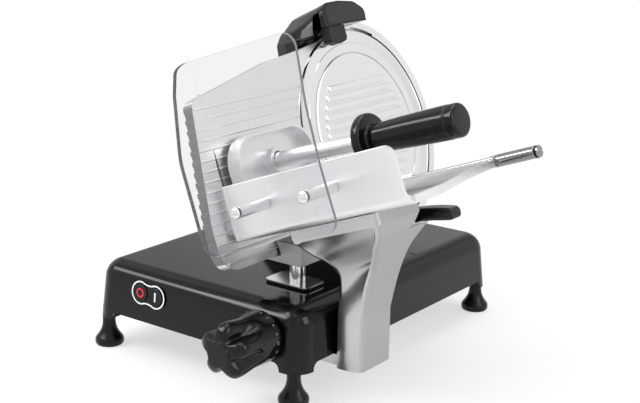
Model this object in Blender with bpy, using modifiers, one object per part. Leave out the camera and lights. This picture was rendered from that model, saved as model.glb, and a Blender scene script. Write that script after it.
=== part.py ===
"""Electric food slicer with a 250 mm blade: every piece is its own object, in metres, +Z up.

The blade and the gauge plate lie in a plane that leans back by TILT. Pieces that belong to that plane are
modelled in a leaning frame whose axes are: x in front of the blade plane, y towards the back of the machine,
z up along the blade plane. CUT has its origin at the blade centre, TABLE lies at the base's middle in y.
"""

from math import asin, atan2, cos, pi, radians, sin, sqrt, tan

import bmesh
import bpy
from mathutils import Matrix, Vector

# Fits
CLEAR = 0.0003
RUN = 0.0010

# Base
BASE_HALF_X = 0.156
BASE_HALF_Y = 0.203
BASE_TAPER_X = 0.005
BASE_TAPER_Y = 0.006
BASE_TOP = 0.106
BASE_LOW = 0.0355
BASE_SKIRT = 0.045
BASE_WALL = 0.0035
BASE_CORNER = 0.024
BASE_EDGE = 0.020
FOOT_X = BASE_HALF_X - 0.0155
FOOT_Y = BASE_HALF_Y - 0.010
FOOT_RADIUS = 0.0172
FOOT_NECK = 0.0078
COVER_SHEET = 0.002
GLAND_X = -0.095
GLAND_Z = 0.072
SWITCH_STOP = (-0.079, 0.0444)
SWITCH_START = (-0.0555, 0.0436)
SWITCH_LOBE = 0.0145
BUTTON_RADIUS = 0.0108
BUTTON_TRAVEL = 0.002

# Blade and its plane
TILT = radians(20.5)
BLADE_X = BASE_HALF_X - 0.1173
BLADE_Y = 0.0856
BLADE_Z = 0.244
BLADE_RADIUS = 0.125
BLADE_BACK = 0.0065
BLADE_RECESS = 0.0035
BEVEL_WIDTH = 0.015
COVER_RADIUS = 0.0975
COVER_PROUD = 0.0025
COVER_RIB_PITCH = 0.0113
SHAFT_RADIUS = 0.010
SHAFT_FLANGE_RADIUS = 0.028
SHAFT_FLANGE = 0.0057
TIE_ROD_RADIUS = 0.004
BEARING_RADIUS = 0.021
BEARING_WIDTH = 0.012

# Blade support casting and drive
SUPPORT_FRONT = 0.014
SUPPORT_BACK = 0.022
SUPPORT_SMALL_RADIUS = 0.112
GUARD_INNER = 0.1275
GUARD_OUTER = 0.1385
GUARD_START = radians(-112)
GUARD_END = radians(88)
TUBE_RADIUS = 0.030
TUBE_LENGTH = 0.0285
PULLEY_RADIUS = 0.045
MOTOR_PULLEY_RADIUS = 0.012
PULLEY_WIDTH = 0.013
BELT_THICKNESS = 0.003
MOTOR_DROP = 0.095
MOTOR_RADIUS = 0.040
MOTOR_ROOM = 0.0047
MOTOR_PLATE = 0.004
HOUSING_RADIUS = 0.066
HOUSING_SIDE = 0.004
HOUSING_NARROWING = 0.045
HOUSING_WALL = 0.003
HOUSING_TOP_DEPTH = 0.086
HOUSING_LOW_DEPTH = 0.158
HOUSING_RAMP_TOP = -0.018
HOUSING_RAMP = 0.040

# Gauge plate and its mechanism
GAUGE_DEPTH = 0.015
GAUGE_FACE = 0.004
GAUGE_EDGE = 0.1275
GAUGE_FRONT = -0.316
GAUGE_LOW = -0.108
GAUGE_TRAVEL = 0.014
RIB_HEIGHT = 0.0015
RIB_WIDTH = 0.0022
RIB_PITCH = 0.0113
POST_X = BASE_HALF_X - 0.068
POST_Y = -0.120
POST_RADIUS = 0.009
POST_TOP = 0.152
SLOT_SPARE = 0.0012
GAUGE_ROD_Z = 0.066
GAUGE_ROD_RADIUS = 0.006
TOP_PLATE_X = 0.060
TOP_PLATE_Y = 0.037
KNOB_X = POST_X + 0.0145
KNOB_Z = 0.072
KNOB_HUB_RADIUS = 0.015
KNOB_LOBES = 5
KNOB_LOBE_RADIUS = 0.0088
KNOB_LOBE_CENTRE = 0.0225
KNOB_FACE_Y = -BASE_HALF_Y - 0.072
KNOB_HEAD = 0.022
KNOB_TURN = radians(300)
KNOB_SHAFT_RADIUS = 0.004
CAM_BACK = -BASE_HALF_Y + 0.024
CAM_THICK = 0.0080
CAM_GROOVE = 0.0035
CAM_INNER = 0.0070
CAM_RADIUS = 0.0245
PIN_RADIUS = 0.002

# Carriage
WALL_Y = -0.206
WALL_THICK = 0.004
TRAY_LEFT = 0.0045
WALL_RIGHT = 0.2345
WALL_TOP = -0.0175
FLOOR_TOP = -0.0715
FLOOR_THICK = 0.0085
TRAY_BACK = 0.057
TRAY_RIGHT = 0.262
TRAY_BACK_RIGHT = 0.180
SLIDER_LENGTH = 0.090
SLIDER_Y = -BASE_HALF_Y + 0.088
COLUMN_IN = BASE_HALF_X + 0.003
COLUMN_OUT = COLUMN_IN + 0.0325
COLUMN_FRONT = SLIDER_Y - 0.028
COLUMN_BACK = SLIDER_Y + 0.028
HEAD_LEFT = 0.0735
HEAD_RIGHT = 0.190
HEAD_DEPTH = 0.0135
COLUMN_LOW = 0.030
ARM_TOP = 0.0435
GUIDE_X = BASE_HALF_X - 0.0195
GUIDE_Z = 0.068
GUIDE_RADIUS = 0.0070
GUIDE_BOSS = BASE_HALF_Y - 0.027
GUIDE_END = BASE_HALF_Y - 0.0175
BUSH_THICK = 0.0015
GUARD_Y = -0.2565
GUARD_THICK = 0.0035
GUARD_LEFT = 0.054
GUARD_RIGHT = 0.184
GUARD_LOW = -0.0855
GUARD_TOP = 0.1166
GUARD_FLANGE = 0.0365
STANDOFF_RADIUS = 0.00625
STANDOFF_C = -0.0454
STANDOFFS = (0.0615, 0.1534)
LEVER_A = 0.135
LEVER_Y = COLUMN_BACK - 0.006
LEVER_ROOM = 0.030
LEVER_PIN_RADIUS = 0.0035
LEVER_PIN_DEPTH = 0.010

# Food pusher
ROD_Y = 0.0695
ROD_C = -0.0745
ROD_RADIUS = 0.006
ROD_END = 0.235
LUG_LEFT = 0.004
LUG_RIGHT = 0.166
SLEEVE_END = 0.055
PUSHER_Y = -0.120
PUSHER_C = -0.005
PUSHER_HALF = 0.066
PUSHER_TOP = 0.030
PUSHER_DEPTH = 0.0175
PAN_FLOOR = 0.006
TUBE_OUT = 0.155
PUSHER_TUBE_RADIUS = 0.009
GRIP_RADIUS = 0.0158

# Sharpener
STONE_Y = -0.010
STONE_C = 0.1165
STONE_PRESS = 0.003
SKIRT_BACK = -0.045

# Frames, filled in when the scene is built
CUT = None
TABLE = None
WALL = None
ROOT = None
PARTS = None
CUTTERS = None


def clear_scene():
    for item in list(bpy.data.objects):
        bpy.data.objects.remove(item)


def new_collection(name):
    group = bpy.data.collections.new(name)
    bpy.context.scene.collection.children.link(group)
    return group


def empty(name, parent=None, location=(0, 0, 0), rotation=(0, 0, 0)):
    item = bpy.data.objects.new(name, None)
    PARTS.objects.link(item)
    item.parent = parent
    item.location = location
    item.rotation_euler = rotation
    item.empty_display_size = 0.05
    return item


def material(name, colour, roughness, metallic=0.0):
    look = bpy.data.materials.get(name)
    if look is None:
        look = bpy.data.materials.new(name)
        look.use_nodes = True
        shader = look.node_tree.nodes["Principled BSDF"]
        shader.inputs["Base Color"].default_value = (*colour, 1.0)
        shader.inputs["Roughness"].default_value = roughness
        shader.inputs["Metallic"].default_value = metallic
        look.diffuse_color = (*colour, 1.0)
    return look


def black_paint():
    return material("black_paint", (0.012, 0.012, 0.013), 0.18)


def black_plastic():
    return material("black_plastic", (0.010, 0.010, 0.011), 0.30)


def cast_aluminium():
    return material("cast_aluminium", (0.80, 0.81, 0.82), 0.28, 1.0)


def anodised():
    return material("anodised_aluminium", (0.78, 0.79, 0.80), 0.38, 1.0)


def steel():
    return material("polished_steel", (0.66, 0.66, 0.67), 0.16, 1.0)


def dark_metal():
    return material("dark_metal", (0.10, 0.10, 0.11), 0.45, 0.8)


def rubber():
    return material("black_rubber", (0.015, 0.015, 0.015), 0.55)


def clear_plastic():
    return material("clear_plastic", (0.90, 0.93, 0.95), 0.05)


def part(name, shape, look, parent=None, pivot=(0, 0, 0)):
    """Make a named part from a shape given in its parent's frame, with its origin at the pivot."""
    bmesh.ops.translate(shape, verts=shape.verts, vec=-Vector(pivot))
    mesh = bpy.data.meshes.new(name)
    bmesh.ops.recalc_face_normals(shape, faces=shape.faces)
    shape.to_mesh(mesh)
    shape.free()
    mesh.shade_smooth()
    mesh.set_sharp_from_angle(angle=radians(32))
    item = bpy.data.objects.new(name, mesh)
    PARTS.objects.link(item)
    item.parent = parent or ROOT
    item.location = pivot
    item.data.materials.append(look)
    return item


def tool(name, shape, parent=None):
    """A shape that only cuts or joins: kept in the cutters' collection and never shown as a part."""
    mesh = bpy.data.meshes.new(name)
    bmesh.ops.recalc_face_normals(shape, faces=shape.faces)
    shape.to_mesh(mesh)
    shape.free()
    item = bpy.data.objects.new(name, mesh)
    CUTTERS.objects.link(item)
    item.parent = parent or ROOT
    item.hide_render = True
    item.display_type = "WIRE"
    return item


def combine(item, operation, shape, parent=None, name=""):
    helper = tool(f"{item.name}_{operation.lower()}{name}", shape, parent or item.parent)
    step = item.modifiers.new(f"{operation.lower()}{name}", "BOOLEAN")
    step.operation = operation
    step.solver = "EXACT"
    step.object = helper


def cut(item, shape, parent=None, name=""):
    combine(item, "DIFFERENCE", shape, parent, name)


def join(item, shape, parent=None, name=""):
    combine(item, "UNION", shape, parent, name)


def block(low, high):
    shape = bmesh.new()
    bmesh.ops.create_cube(shape, size=1.0)
    size = [b - a for a, b in zip(low, high)]
    middle = [(a + b) / 2 for a, b in zip(low, high)]
    bmesh.ops.scale(shape, verts=shape.verts, vec=size)
    bmesh.ops.translate(shape, verts=shape.verts, vec=middle)
    return shape


def rounded_block(low, high, radius, segments=2):
    shape = block(low, high)
    bmesh.ops.bevel(shape, geom=shape.edges[:], offset=radius, segments=segments, profile=0.5, affect="EDGES")
    return shape


def rod(start, end, radius, end_radius=None, segments=16):
    start = Vector(start)
    end = Vector(end)
    shape = bmesh.new()
    far = radius if end_radius is None else end_radius
    bmesh.ops.create_cone(
        shape, cap_ends=True, segments=segments, radius1=radius, radius2=far, depth=(end - start).length
    )
    turn = Vector((0, 0, 1)).rotation_difference(end - start).to_matrix().to_4x4()
    place = Matrix.Translation((start + end) / 2) @ turn
    bmesh.ops.transform(shape, matrix=place, verts=shape.verts)
    return shape


def together(*shapes):
    """Put several shapes that don't touch into one, so that one Boolean can use them all."""
    whole = bmesh.new()
    for shape in shapes:
        mesh = bpy.data.meshes.new("together")
        shape.to_mesh(mesh)
        shape.free()
        whole.from_mesh(mesh)
        bpy.data.meshes.remove(mesh)
    return whole


def baked(item):
    """The evaluated shape of a temporary object, which is removed."""
    bpy.context.scene.collection.objects.link(item)
    evaluated = item.evaluated_get(bpy.context.evaluated_depsgraph_get())
    mesh = bpy.data.meshes.new_from_object(evaluated)
    shape = bmesh.new()
    shape.from_mesh(mesh)
    bmesh.ops.remove_doubles(shape, verts=shape.verts, dist=0.000001)
    bmesh.ops.recalc_face_normals(shape, faces=shape.faces)
    bpy.data.objects.remove(item)
    bpy.data.meshes.remove(mesh)
    return shape


# How a flat outline's (u, v) and its thickness lie along x, y and z
ALONG = {
    "x": Matrix(((0, 0, 1, 0), (1, 0, 0, 0), (0, 1, 0, 0), (0, 0, 0, 1))),
    "y": Matrix(((1, 0, 0, 0), (0, 0, -1, 0), (0, 1, 0, 0), (0, 0, 0, 1))),
    "z": Matrix.Identity(4),
}


def plate(outline, axis, low, high, holes=()):
    """A flat outline with a thickness from low to high along an axis.

    The outline is (y, z) for x, (x, z) for y and (x, y) for z.
    """
    curve = bpy.data.curves.new("outline", "CURVE")
    curve.dimensions = "2D"
    curve.fill_mode = "BOTH"
    curve.extrude = (high - low) / 2
    for points in (outline, *holes):
        spline = curve.splines.new("POLY")
        spline.points.add(len(points) - 1)
        for point, (u, v) in zip(spline.points, points):
            point.co = (u, v, 0, 1)
        spline.use_cyclic_u = True
    shape = baked(bpy.data.objects.new("outline", curve))
    middle = (low + high) / 2
    lift = Matrix.Translation((0, 0, -middle if axis == "y" else middle))
    bmesh.ops.transform(shape, matrix=ALONG[axis] @ lift, verts=shape.verts)
    return shape


def revolved(profile, axis="x", centre=(0, 0, 0), segments=24, loop=False):
    """A turned shape: the profile's (radius, height) run from top to bottom on the outer side.

    Height runs along +x, -y or +z. A loop profile closes on itself and leaves a bore.
    """
    mesh = bpy.data.meshes.new("profile")
    count = len(profile)
    edges = [(i, i + 1) for i in range(count - 1)]
    if loop:
        edges.append((count - 1, 0))
    mesh.from_pydata([(r, 0, h) for r, h in profile], edges, [])
    item = bpy.data.objects.new("profile", mesh)
    screw = item.modifiers.new("turn", "SCREW")
    screw.steps = segments
    screw.render_steps = segments
    screw.use_merge_vertices = True
    screw.merge_threshold = 0.00001
    shape = baked(item)
    turn = {
        "x": Matrix.Rotation(pi / 2, 4, "Y"),
        "y": Matrix.Rotation(pi / 2, 4, "X"),
        "z": Matrix.Identity(4),
    }[axis]
    bmesh.ops.transform(shape, matrix=Matrix.Translation(centre) @ turn, verts=shape.verts)
    return shape


def arc(u, v, radius, start, end, steps):
    """Points on an arc from one angle to another, both ends included."""
    turn = (end - start) / steps
    return [(u + radius * cos(start + i * turn), v + radius * sin(start + i * turn)) for i in range(steps + 1)]


def rounded(corners, steps=3):
    """A closed outline whose corners (u, v, radius) are arcs."""
    points = []
    count = len(corners)
    for i, (u, v, radius) in enumerate(corners):
        corner = Vector((u, v))
        back = Vector(corners[i - 1][:2]) - corner
        ahead = Vector(corners[(i + 1) % count][:2]) - corner
        half = back.angle(ahead) / 2
        reach = min(radius / tan(half), 0.49 * back.length, 0.49 * ahead.length)
        if reach < 0.00005:
            points.append((u, v))
            continue
        size = reach * tan(half)
        centre = corner + (back.normalized() + ahead.normalized()).normalized() * (size / sin(half))
        first = corner + back.normalized() * reach - centre
        last = corner + ahead.normalized() * reach - centre
        start = atan2(first.y, first.x)
        sweep = atan2(last.y, last.x) - start
        sweep = (sweep + pi) % (2 * pi) - pi
        points += arc(centre.x, centre.y, size, start, start + sweep, steps)
    return points


def loft(sections):
    """A closed skin through rings of points, all with as many points, capped at both ends."""
    shape = bmesh.new()
    rings = [[shape.verts.new(point) for point in section] for section in sections]
    count = len(rings[0])
    for low, high in zip(rings, rings[1:]):
        for i in range(count):
            k = (i + 1) % count
            shape.faces.new((low[i], low[k], high[k], high[i]))
    shape.faces.new(list(reversed(rings[0])))
    shape.faces.new(rings[-1])
    bmesh.ops.recalc_face_normals(shape, faces=shape.faces)
    return shape


def base_outline(inset, z, steps=3):
    """The base's rounded rectangle at a height, drawn in by an inset."""
    share = (z - BASE_LOW) / (BASE_TOP - BASE_LOW)
    half_x = BASE_HALF_X - BASE_TAPER_X * share - inset
    half_y = BASE_HALF_Y - BASE_TAPER_Y * share - inset
    r = BASE_CORNER - inset
    corners = [(half_x, half_y, r), (-half_x, half_y, r), (-half_x, -half_y, r), (half_x, -half_y, r)]
    return rounded(corners, steps)


def base_skin(inset, low, edge_steps=3):
    """The base's outer or inner form: tapered walls and a rounded top edge, closed below."""
    top = BASE_TOP - inset
    edge = BASE_EDGE - inset
    sections = [(low, 0.0)]
    for i in range(edge_steps + 1):
        turn = i * (pi / 2) / edge_steps
        sections.append((top - edge + edge * sin(turn), edge * (1 - cos(turn))))
    rings = []
    for z, drawn in sections:
        rings.append([(x, y, z) for x, y in base_outline(inset + drawn, z)])
    return loft(rings)


def base_housing():
    """A thin cast shell, open below, with a skirt that drops at the corners to carry the feet."""
    item = part("base_housing", base_skin(0.0, BASE_LOW), black_paint())
    cut(item, base_skin(BASE_WALL, BASE_LOW - 0.01), name="_inside")
    pads = plate(base_outline(0.001, BASE_LOW), "z", BASE_LOW, BASE_LOW + 0.0115)
    reach_x = FOOT_X - 0.011
    reach_y = FOOT_Y - 0.013
    middle = block((-0.2, -reach_y, 0.0), (0.2, reach_y, 0.1))
    across = block((-reach_x, -0.3, 0.0), (reach_x, 0.3, 0.1))
    pad = tool("corner_pads", pads)
    for name, shape in (("gap_y", middle), ("gap_x", across)):
        helper = tool(f"corner_pads_{name}", shape)
        step = pad.modifiers.new(name, "BOOLEAN")
        step.operation = "DIFFERENCE"
        step.object = helper
    step = item.modifiers.new("pads", "BOOLEAN")
    step.operation = "UNION"
    step.object = pad
    fillet = 0.009
    drop = BASE_SKIRT - BASE_LOW
    low = BASE_LOW - 0.01

    def notch(reach):
        return rounded(
            [(-reach, low, 0), (reach, low, 0), (reach - drop * 0.4, BASE_SKIRT, fillet),
             (-reach + drop * 0.4, BASE_SKIRT, fillet)],
            4,
        )

    cut(item, plate(notch(reach_x), "y", -0.3, 0.3), name="_notch_front")
    cut(item, plate(notch(reach_y), "x", -0.3, 0.3), name="_notch_side")
    slot_low = POST_X - POST_RADIUS - GAUGE_TRAVEL - SLOT_SPARE
    slot_high = POST_X + POST_RADIUS + SLOT_SPARE
    r = POST_RADIUS + SLOT_SPARE
    slot = rounded(
        [(slot_low, POST_Y - r, r), (slot_high, POST_Y - r, r), (slot_high, POST_Y + r, r), (slot_low, POST_Y + r, r)], 4
    )
    well_left = BLADE_X - 0.1207
    well_right = BLADE_X - 0.0167
    well_front = BLADE_Y - 0.0516
    well_back = BLADE_Y + 0.0514
    well = rounded(
        [(well_left, well_front, 0.01), (well_right, well_front, 0.01), (well_right, well_back, 0.01),
         (well_left, well_back, 0.01)], 2,
    )
    cut(
        item,
        together(plate(slot, "z", 0.09, 0.12), plate(well, "z", 0.09, 0.12)),
        name="_top",
    )
    wall = BASE_HALF_Y + 0.01
    cut(
        item,
        together(
            rod((KNOB_X, -wall, KNOB_Z), (KNOB_X, -wall + 0.03, KNOB_Z), 0.0085),
            rod((GLAND_X, wall, GLAND_Z), (GLAND_X, wall - 0.03, GLAND_Z), 0.0083),
        ),
        name="_round",
    )
    cut(item, plate(peanut(-0.0025), "y", -0.012, 0.012), WALL, "_switch")
    guide_boss = [
        (GUIDE_X - 0.0085, GUIDE_BOSS), (GUIDE_X + 0.0095, GUIDE_BOSS),
        (GUIDE_X + 0.0095, BASE_HALF_Y - 0.0145), (GUIDE_X, BASE_HALF_Y - 0.0075), (GUIDE_X - 0.0085, BASE_HALF_Y - 0.006),
    ]
    bosses = together(
        block((POST_X - 0.075, POST_Y - 0.012, 0.054), (POST_X - 0.065, POST_Y + 0.012, BASE_TOP - 0.002)),
        block((POST_X + 0.0205, POST_Y - 0.012, 0.054), (POST_X + 0.0255, POST_Y + 0.012, BASE_TOP - 0.002)),
        *(plate([(x, side * y) for x, y in guide_boss], "z", 0.054, 0.083) for side in (-1, 1)),
    )
    join(item, bosses, name="_bosses")
    cut(
        item,
        together(
            rod((POST_X - 0.0705, POST_Y, GAUGE_ROD_Z), (POST_X + 0.032, POST_Y, GAUGE_ROD_Z), GAUGE_ROD_RADIUS + CLEAR),
            rod((GUIDE_X, -GUIDE_END - CLEAR, GUIDE_Z), (GUIDE_X, GUIDE_END + CLEAR, GUIDE_Z), GUIDE_RADIUS + CLEAR),
        ),
        name="_bores",
    )
    return item




def peanut(grow):
    """Two round lobes joined by a waist, in the front wall's own x and height."""
    r = SWITCH_LOBE + grow
    x0, z0 = SWITCH_STOP
    x1, z1 = SWITCH_START
    left = arc(x0, z0, r, radians(50), radians(310), 12)
    right = arc(x1, z1, r, radians(230), radians(490), 12)
    waist = 0.0118 + grow
    middle = (x0 + x1) / 2
    height = (z0 + z1) / 2
    return left + [(middle, height - waist)] + right + [(middle, height + waist)]


def bottom_cover():
    edge = POST_X - 0.038
    left = -BASE_HALF_X + 0.0055
    corners = [
        (edge, FOOT_Y + 0.0035, 0.004), (left, FOOT_Y + 0.0035, BASE_CORNER),
        (left, -FOOT_Y - 0.0035, BASE_CORNER), (edge, -FOOT_Y - 0.0035, 0.004),
    ]
    low = BASE_LOW + 0.0115 + CLEAR
    item = part("bottom_cover", plate(rounded(corners, 4), "z", low, low + COVER_SHEET), black_plastic())
    vents = [block((-0.06 + i * 0.012, 0.045, low - 0.01), (-0.055 + i * 0.012, 0.105, low + 0.01)) for i in range(6)]
    cut(item, together(*vents), name="_vents")
    return item


def feet():
    profile = [
        (0, BASE_LOW - CLEAR), (FOOT_NECK, BASE_LOW - CLEAR), (FOOT_NECK, 0.0270), (0.0092, 0.0200),
        (0.0125, 0.0135), (0.0162, 0.0095), (FOOT_RADIUS, 0.0065), (FOOT_RADIUS, 0.0030), (0.0155, 0.0), (0, 0.0),
    ]
    for end, y in (("front", -FOOT_Y), ("back", FOOT_Y)):
        for side, x in (("left", -FOOT_X), ("right", FOOT_X)):
            part(f"foot_{end}_{side}", revolved(profile, "z", (x, y, 0), 14), rubber())


def switch():
    outer = 0.0022
    bezel = plate(
        peanut(0), "y", -outer, -CLEAR,
        holes=(circle(*SWITCH_STOP, BUTTON_RADIUS + 0.0004), circle(*SWITCH_START, BUTTON_RADIUS + 0.0004)),
    )
    part("switch_panel", bezel, black_plastic(), WALL)
    back = 0.011
    box = rounded_block((-0.0965, 0.0056, 0.0275), (-0.038, 0.0305, 0.0572), 0.001, 1)
    item = part("switch_box", box, black_plastic(), WALL)
    bores = [rod((x, 0.0, z), (x, back + BUTTON_TRAVEL + 2 * RUN, z), BUTTON_RADIUS + 0.0004) for x, z in (SWITCH_STOP, SWITCH_START)]
    cut(item, together(*bores), name="_bores")
    for name, (x, z), look in (
        ("stop_button", SWITCH_STOP, black_plastic()),
        ("start_button", SWITCH_START, black_plastic()),
    ):
        profile = [
            (0, 0.0034), (BUTTON_RADIUS - 0.0008, 0.0034), (BUTTON_RADIUS, 0.0026),
            (BUTTON_RADIUS, -back), (0, -back),
        ]
        part(name, revolved(profile, "y", (x, 0, z), 18), look, WALL, (x, 0, z))




def circle(u, v, radius, steps=18):
    return arc(u, v, radius, 0, 2 * pi * (steps - 1) / steps, steps - 1)


def electrics():
    floor = BASE_LOW + 0.0115 + CLEAR + COVER_SHEET + CLEAR
    board = rounded_block((-0.125, -0.120, floor), (-0.035, -0.060, floor + 0.022), 0.003, 1)
    part("control_box", board, material("control_box", (0.55, 0.57, 0.55), 0.5))
    capacitor = rod((-0.110, -0.030, floor + 0.0165), (-0.045, -0.030, floor + 0.0165), 0.0163)
    part("run_capacitor", capacitor, material("capacitor", (0.75, 0.75, 0.72), 0.4))
    wall_y = BASE_HALF_Y - BASE_TAPER_Y * (GLAND_Z - BASE_LOW) / (BASE_TOP - BASE_LOW)
    profile = [
        (0.0045, wall_y + 0.016), (0.0075, wall_y + 0.016), (0.0095, wall_y + 0.010), (0.0115, wall_y + 0.0085),
        (0.0115, wall_y + 0.0012), (0.0080, wall_y + 0.0012), (0.0080, wall_y - 0.0120), (0.0045, wall_y - 0.0120),
    ]
    flipped = [(r, -h) for r, h in reversed(profile)]
    part("cord_inlet", revolved(flipped, "y", (GLAND_X, 0, GLAND_Z), 16, True), black_plastic())


def support_outline(radius, small, start, end):
    big = arc(0, 0, radius, start, end, 24)
    rest = arc(0, 0, small, end, start + 2 * pi, 14)
    return big + rest


def blade_support():
    """The polished casting behind the blade: disc, knife guard ring, bearing tube and foot in one piece."""
    disc = plate(support_outline(GUARD_OUTER, SUPPORT_SMALL_RADIUS, GUARD_START, GUARD_END), "x", -SUPPORT_BACK, -CLEAR)
    item = part("blade_support", disc, cast_aluminium(), CUT)
    cut(item, rod((-SUPPORT_FRONT, 0, 0), (0.02, 0, 0), GUARD_INNER, None, 48), name="_well")
    tube_end = -SUPPORT_BACK - TUBE_LENGTH
    foot = [(-0.055, -0.100), (0.055, -0.100), (0.052, -0.165), (-0.052, -0.165)]
    join(item, plate(foot, "x", -0.048, -SUPPORT_FRONT - 0.0005), name="_foot")
    join(item, rod((tube_end, 0, 0), (-SUPPORT_FRONT - 0.002, 0, 0), TUBE_RADIUS), name="_tube")
    cut(item, block((-0.2, -0.3, 0.0), (0.3, 0.4, BASE_TOP + CLEAR)), ROOT, "_level")
    bearing = BEARING_RADIUS + CLEAR
    deep = BEARING_WIDTH + CLEAR
    cut(
        item,
        revolved(
            [(0, -0.005), (bearing, -0.005), (bearing, -SUPPORT_FRONT - 0.0015 - deep), (0.017, -SUPPORT_FRONT - 0.0015 - deep),
             (0.017, tube_end + deep), (bearing, tube_end + deep), (bearing, tube_end - 0.01), (0, tube_end - 0.01)],
            "x", (0, 0, 0), 20,
        ),
        name="_bore",
    )
    return item


def bearings():
    tube_end = -SUPPORT_BACK - TUBE_LENGTH
    front = -SUPPORT_FRONT - 0.0015
    for name, high in (("bearing_front", front), ("bearing_rear", tube_end + BEARING_WIDTH)):
        low = high - BEARING_WIDTH
        r = SHAFT_RADIUS + CLEAR
        ring = [(BEARING_RADIUS, high), (BEARING_RADIUS, low), (r, low), (r, high)]
        part(name, revolved(ring, "x", (0, 0, 0), 20, True), steel(), CUT)


def blade_shaft():
    front = -BLADE_BACK - CLEAR
    back = -SUPPORT_BACK - TUBE_LENGTH - 0.0025 - PULLEY_WIDTH
    bore = TIE_ROD_RADIUS + RUN / 2
    profile = [
        (SHAFT_FLANGE_RADIUS, front), (SHAFT_FLANGE_RADIUS, front - SHAFT_FLANGE), (SHAFT_RADIUS, front - SHAFT_FLANGE),
        (SHAFT_RADIUS, back), (bore, back), (bore, front),
    ]
    part("blade_shaft", revolved(profile, "x", (0, 0, 0), 20, True), steel(), CUT)


def blade():
    """A hollow-ground disc: bevelled edge, flat bright ring and a recess that takes the cover."""
    r = BLADE_RADIUS
    bevel = r - BEVEL_WIDTH
    bore = TIE_ROD_RADIUS + RUN / 2
    seat = COVER_RADIUS + 0.0010
    profile = [
        (bore, -BLADE_RECESS), (seat, -BLADE_RECESS), (seat, -0.0012), (bevel, -0.0014), (r, -0.0002), (r, -0.0006),
        (r - 0.020, -0.0045), (0.060, -0.0050), (0.045, -BLADE_BACK), (bore, -BLADE_BACK),
    ]
    part("blade", revolved(profile, "x", (0, 0, 0), 48, True), steel(), CUT)


def cover_rib_rows():
    """The cover's raised ribs: (height, left end, right end) for each row."""
    rows = []
    for i in range(13):
        c = 0.058 - i * COVER_RIB_PITCH
        half = sqrt((COVER_RADIUS - 0.014) ** 2 - c * c)
        rows.append((c, -half, half))
    return rows


def blade_cover():
    r = COVER_RADIUS
    face = COVER_PROUD - 0.0013
    profile = [
        (0, face), (r - 0.006, face), (r - 0.0045, face + 0.0010), (r, face - 0.0012),
        (r, -BLADE_RECESS + CLEAR), (0.0050, -BLADE_RECESS + CLEAR), (0.0050, -0.0015), (0, -0.0015),
    ]
    item = part("blade_cover", revolved(profile, "x", (0, 0, 0), 40), anodised(), CUT)
    half = 0.0030
    ribs = []
    for c, left, right in cover_rib_rows():
        outline = arc(left + half, c, half, pi / 2, 3 * pi / 2, 2) + arc(right - half, c, half, -pi / 2, pi / 2, 2)
        ribs.append(plate(outline, "x", face - 0.0006, COVER_PROUD))
    join(item, together(*ribs), name="_ribs")
    return item


def tie_rod():
    """The rod that holds the cover runs through the hollow shaft to a knob behind the housing."""
    knob = -HOUSING_TOP_DEPTH - 0.0010
    r = TIE_ROD_RADIUS
    profile = [
        (0, -0.0022), (r, -0.0022), (r, knob), (0.014, knob), (0.016, knob - 0.003), (0.016, knob - 0.012),
        (0.012, knob - 0.016), (0, knob - 0.016),
    ]
    item = part("cover_tie_rod", revolved(profile, "x", (0, 0, 0), 20), black_plastic(), CUT)
    flutes = []
    for i in range(6):
        turn = i * pi / 3
        y = 0.0185 * cos(turn)
        c = 0.0185 * sin(turn)
        flutes.append(rod((knob - 0.02, y, c), (knob + 0.0005, y, c), 0.004, None, 8))
    cut(item, together(*flutes), name="_flutes")
    return item


def pulley_span():
    high = -SUPPORT_BACK - TUBE_LENGTH - 0.0025
    return high, high - PULLEY_WIDTH


def pulleys():
    high, low = pulley_span()
    r = PULLEY_RADIUS
    bore = SHAFT_RADIUS + CLEAR
    profile = [
        (r, high - 0.001), (r, low + 0.001), (r - 0.006, low + 0.001), (r - 0.006, low + 0.005), (0.018, low + 0.005),
        (0.018, low), (bore, low), (bore, high - 0.001),
    ]
    item = part("blade_pulley", revolved(profile, "x", (0, 0, 0), 24, True), dark_metal(), CUT)
    holes = [
        rod((low - 0.01, 0.0285 * cos(i * pi / 3), 0.0285 * sin(i * pi / 3)),
            (high + 0.01, 0.0285 * cos(i * pi / 3), 0.0285 * sin(i * pi / 3)), 0.006, None, 8)
        for i in range(6)
    ]
    cut(item, together(*holes), name="_holes")
    shaft_end = low - 0.030
    small = [
        (0, high - 0.001), (MOTOR_PULLEY_RADIUS, high - 0.001), (MOTOR_PULLEY_RADIUS, low + 0.001), (0.006, low + 0.001),
        (0.006, shaft_end), (0, shaft_end),
    ]
    centre = (0, 0, -MOTOR_DROP)
    part("motor_pulley", revolved(small, "x", centre, 16), steel(), CUT, centre)


def belt_path(big, small, steps=20):
    """The belt's loop round a big wheel at the top and a small one below."""
    lean = asin((big - small) / MOTOR_DROP)
    top = arc(0, 0, big, -lean, pi + lean, steps)
    low = arc(0, -MOTOR_DROP, small, pi + lean, 2 * pi - lean, steps // 2)
    return top + low


def drive_belt():
    high, low = pulley_span()
    inner = belt_path(PULLEY_RADIUS + 2 * CLEAR, MOTOR_PULLEY_RADIUS + 2 * CLEAR)
    outer = belt_path(PULLEY_RADIUS + 2 * CLEAR + BELT_THICKNESS, MOTOR_PULLEY_RADIUS + 2 * CLEAR + BELT_THICKNESS)
    part("drive_belt", plate(outer, "x", low + 0.002, high - 0.002, holes=(inner,)), rubber(), CUT)


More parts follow.
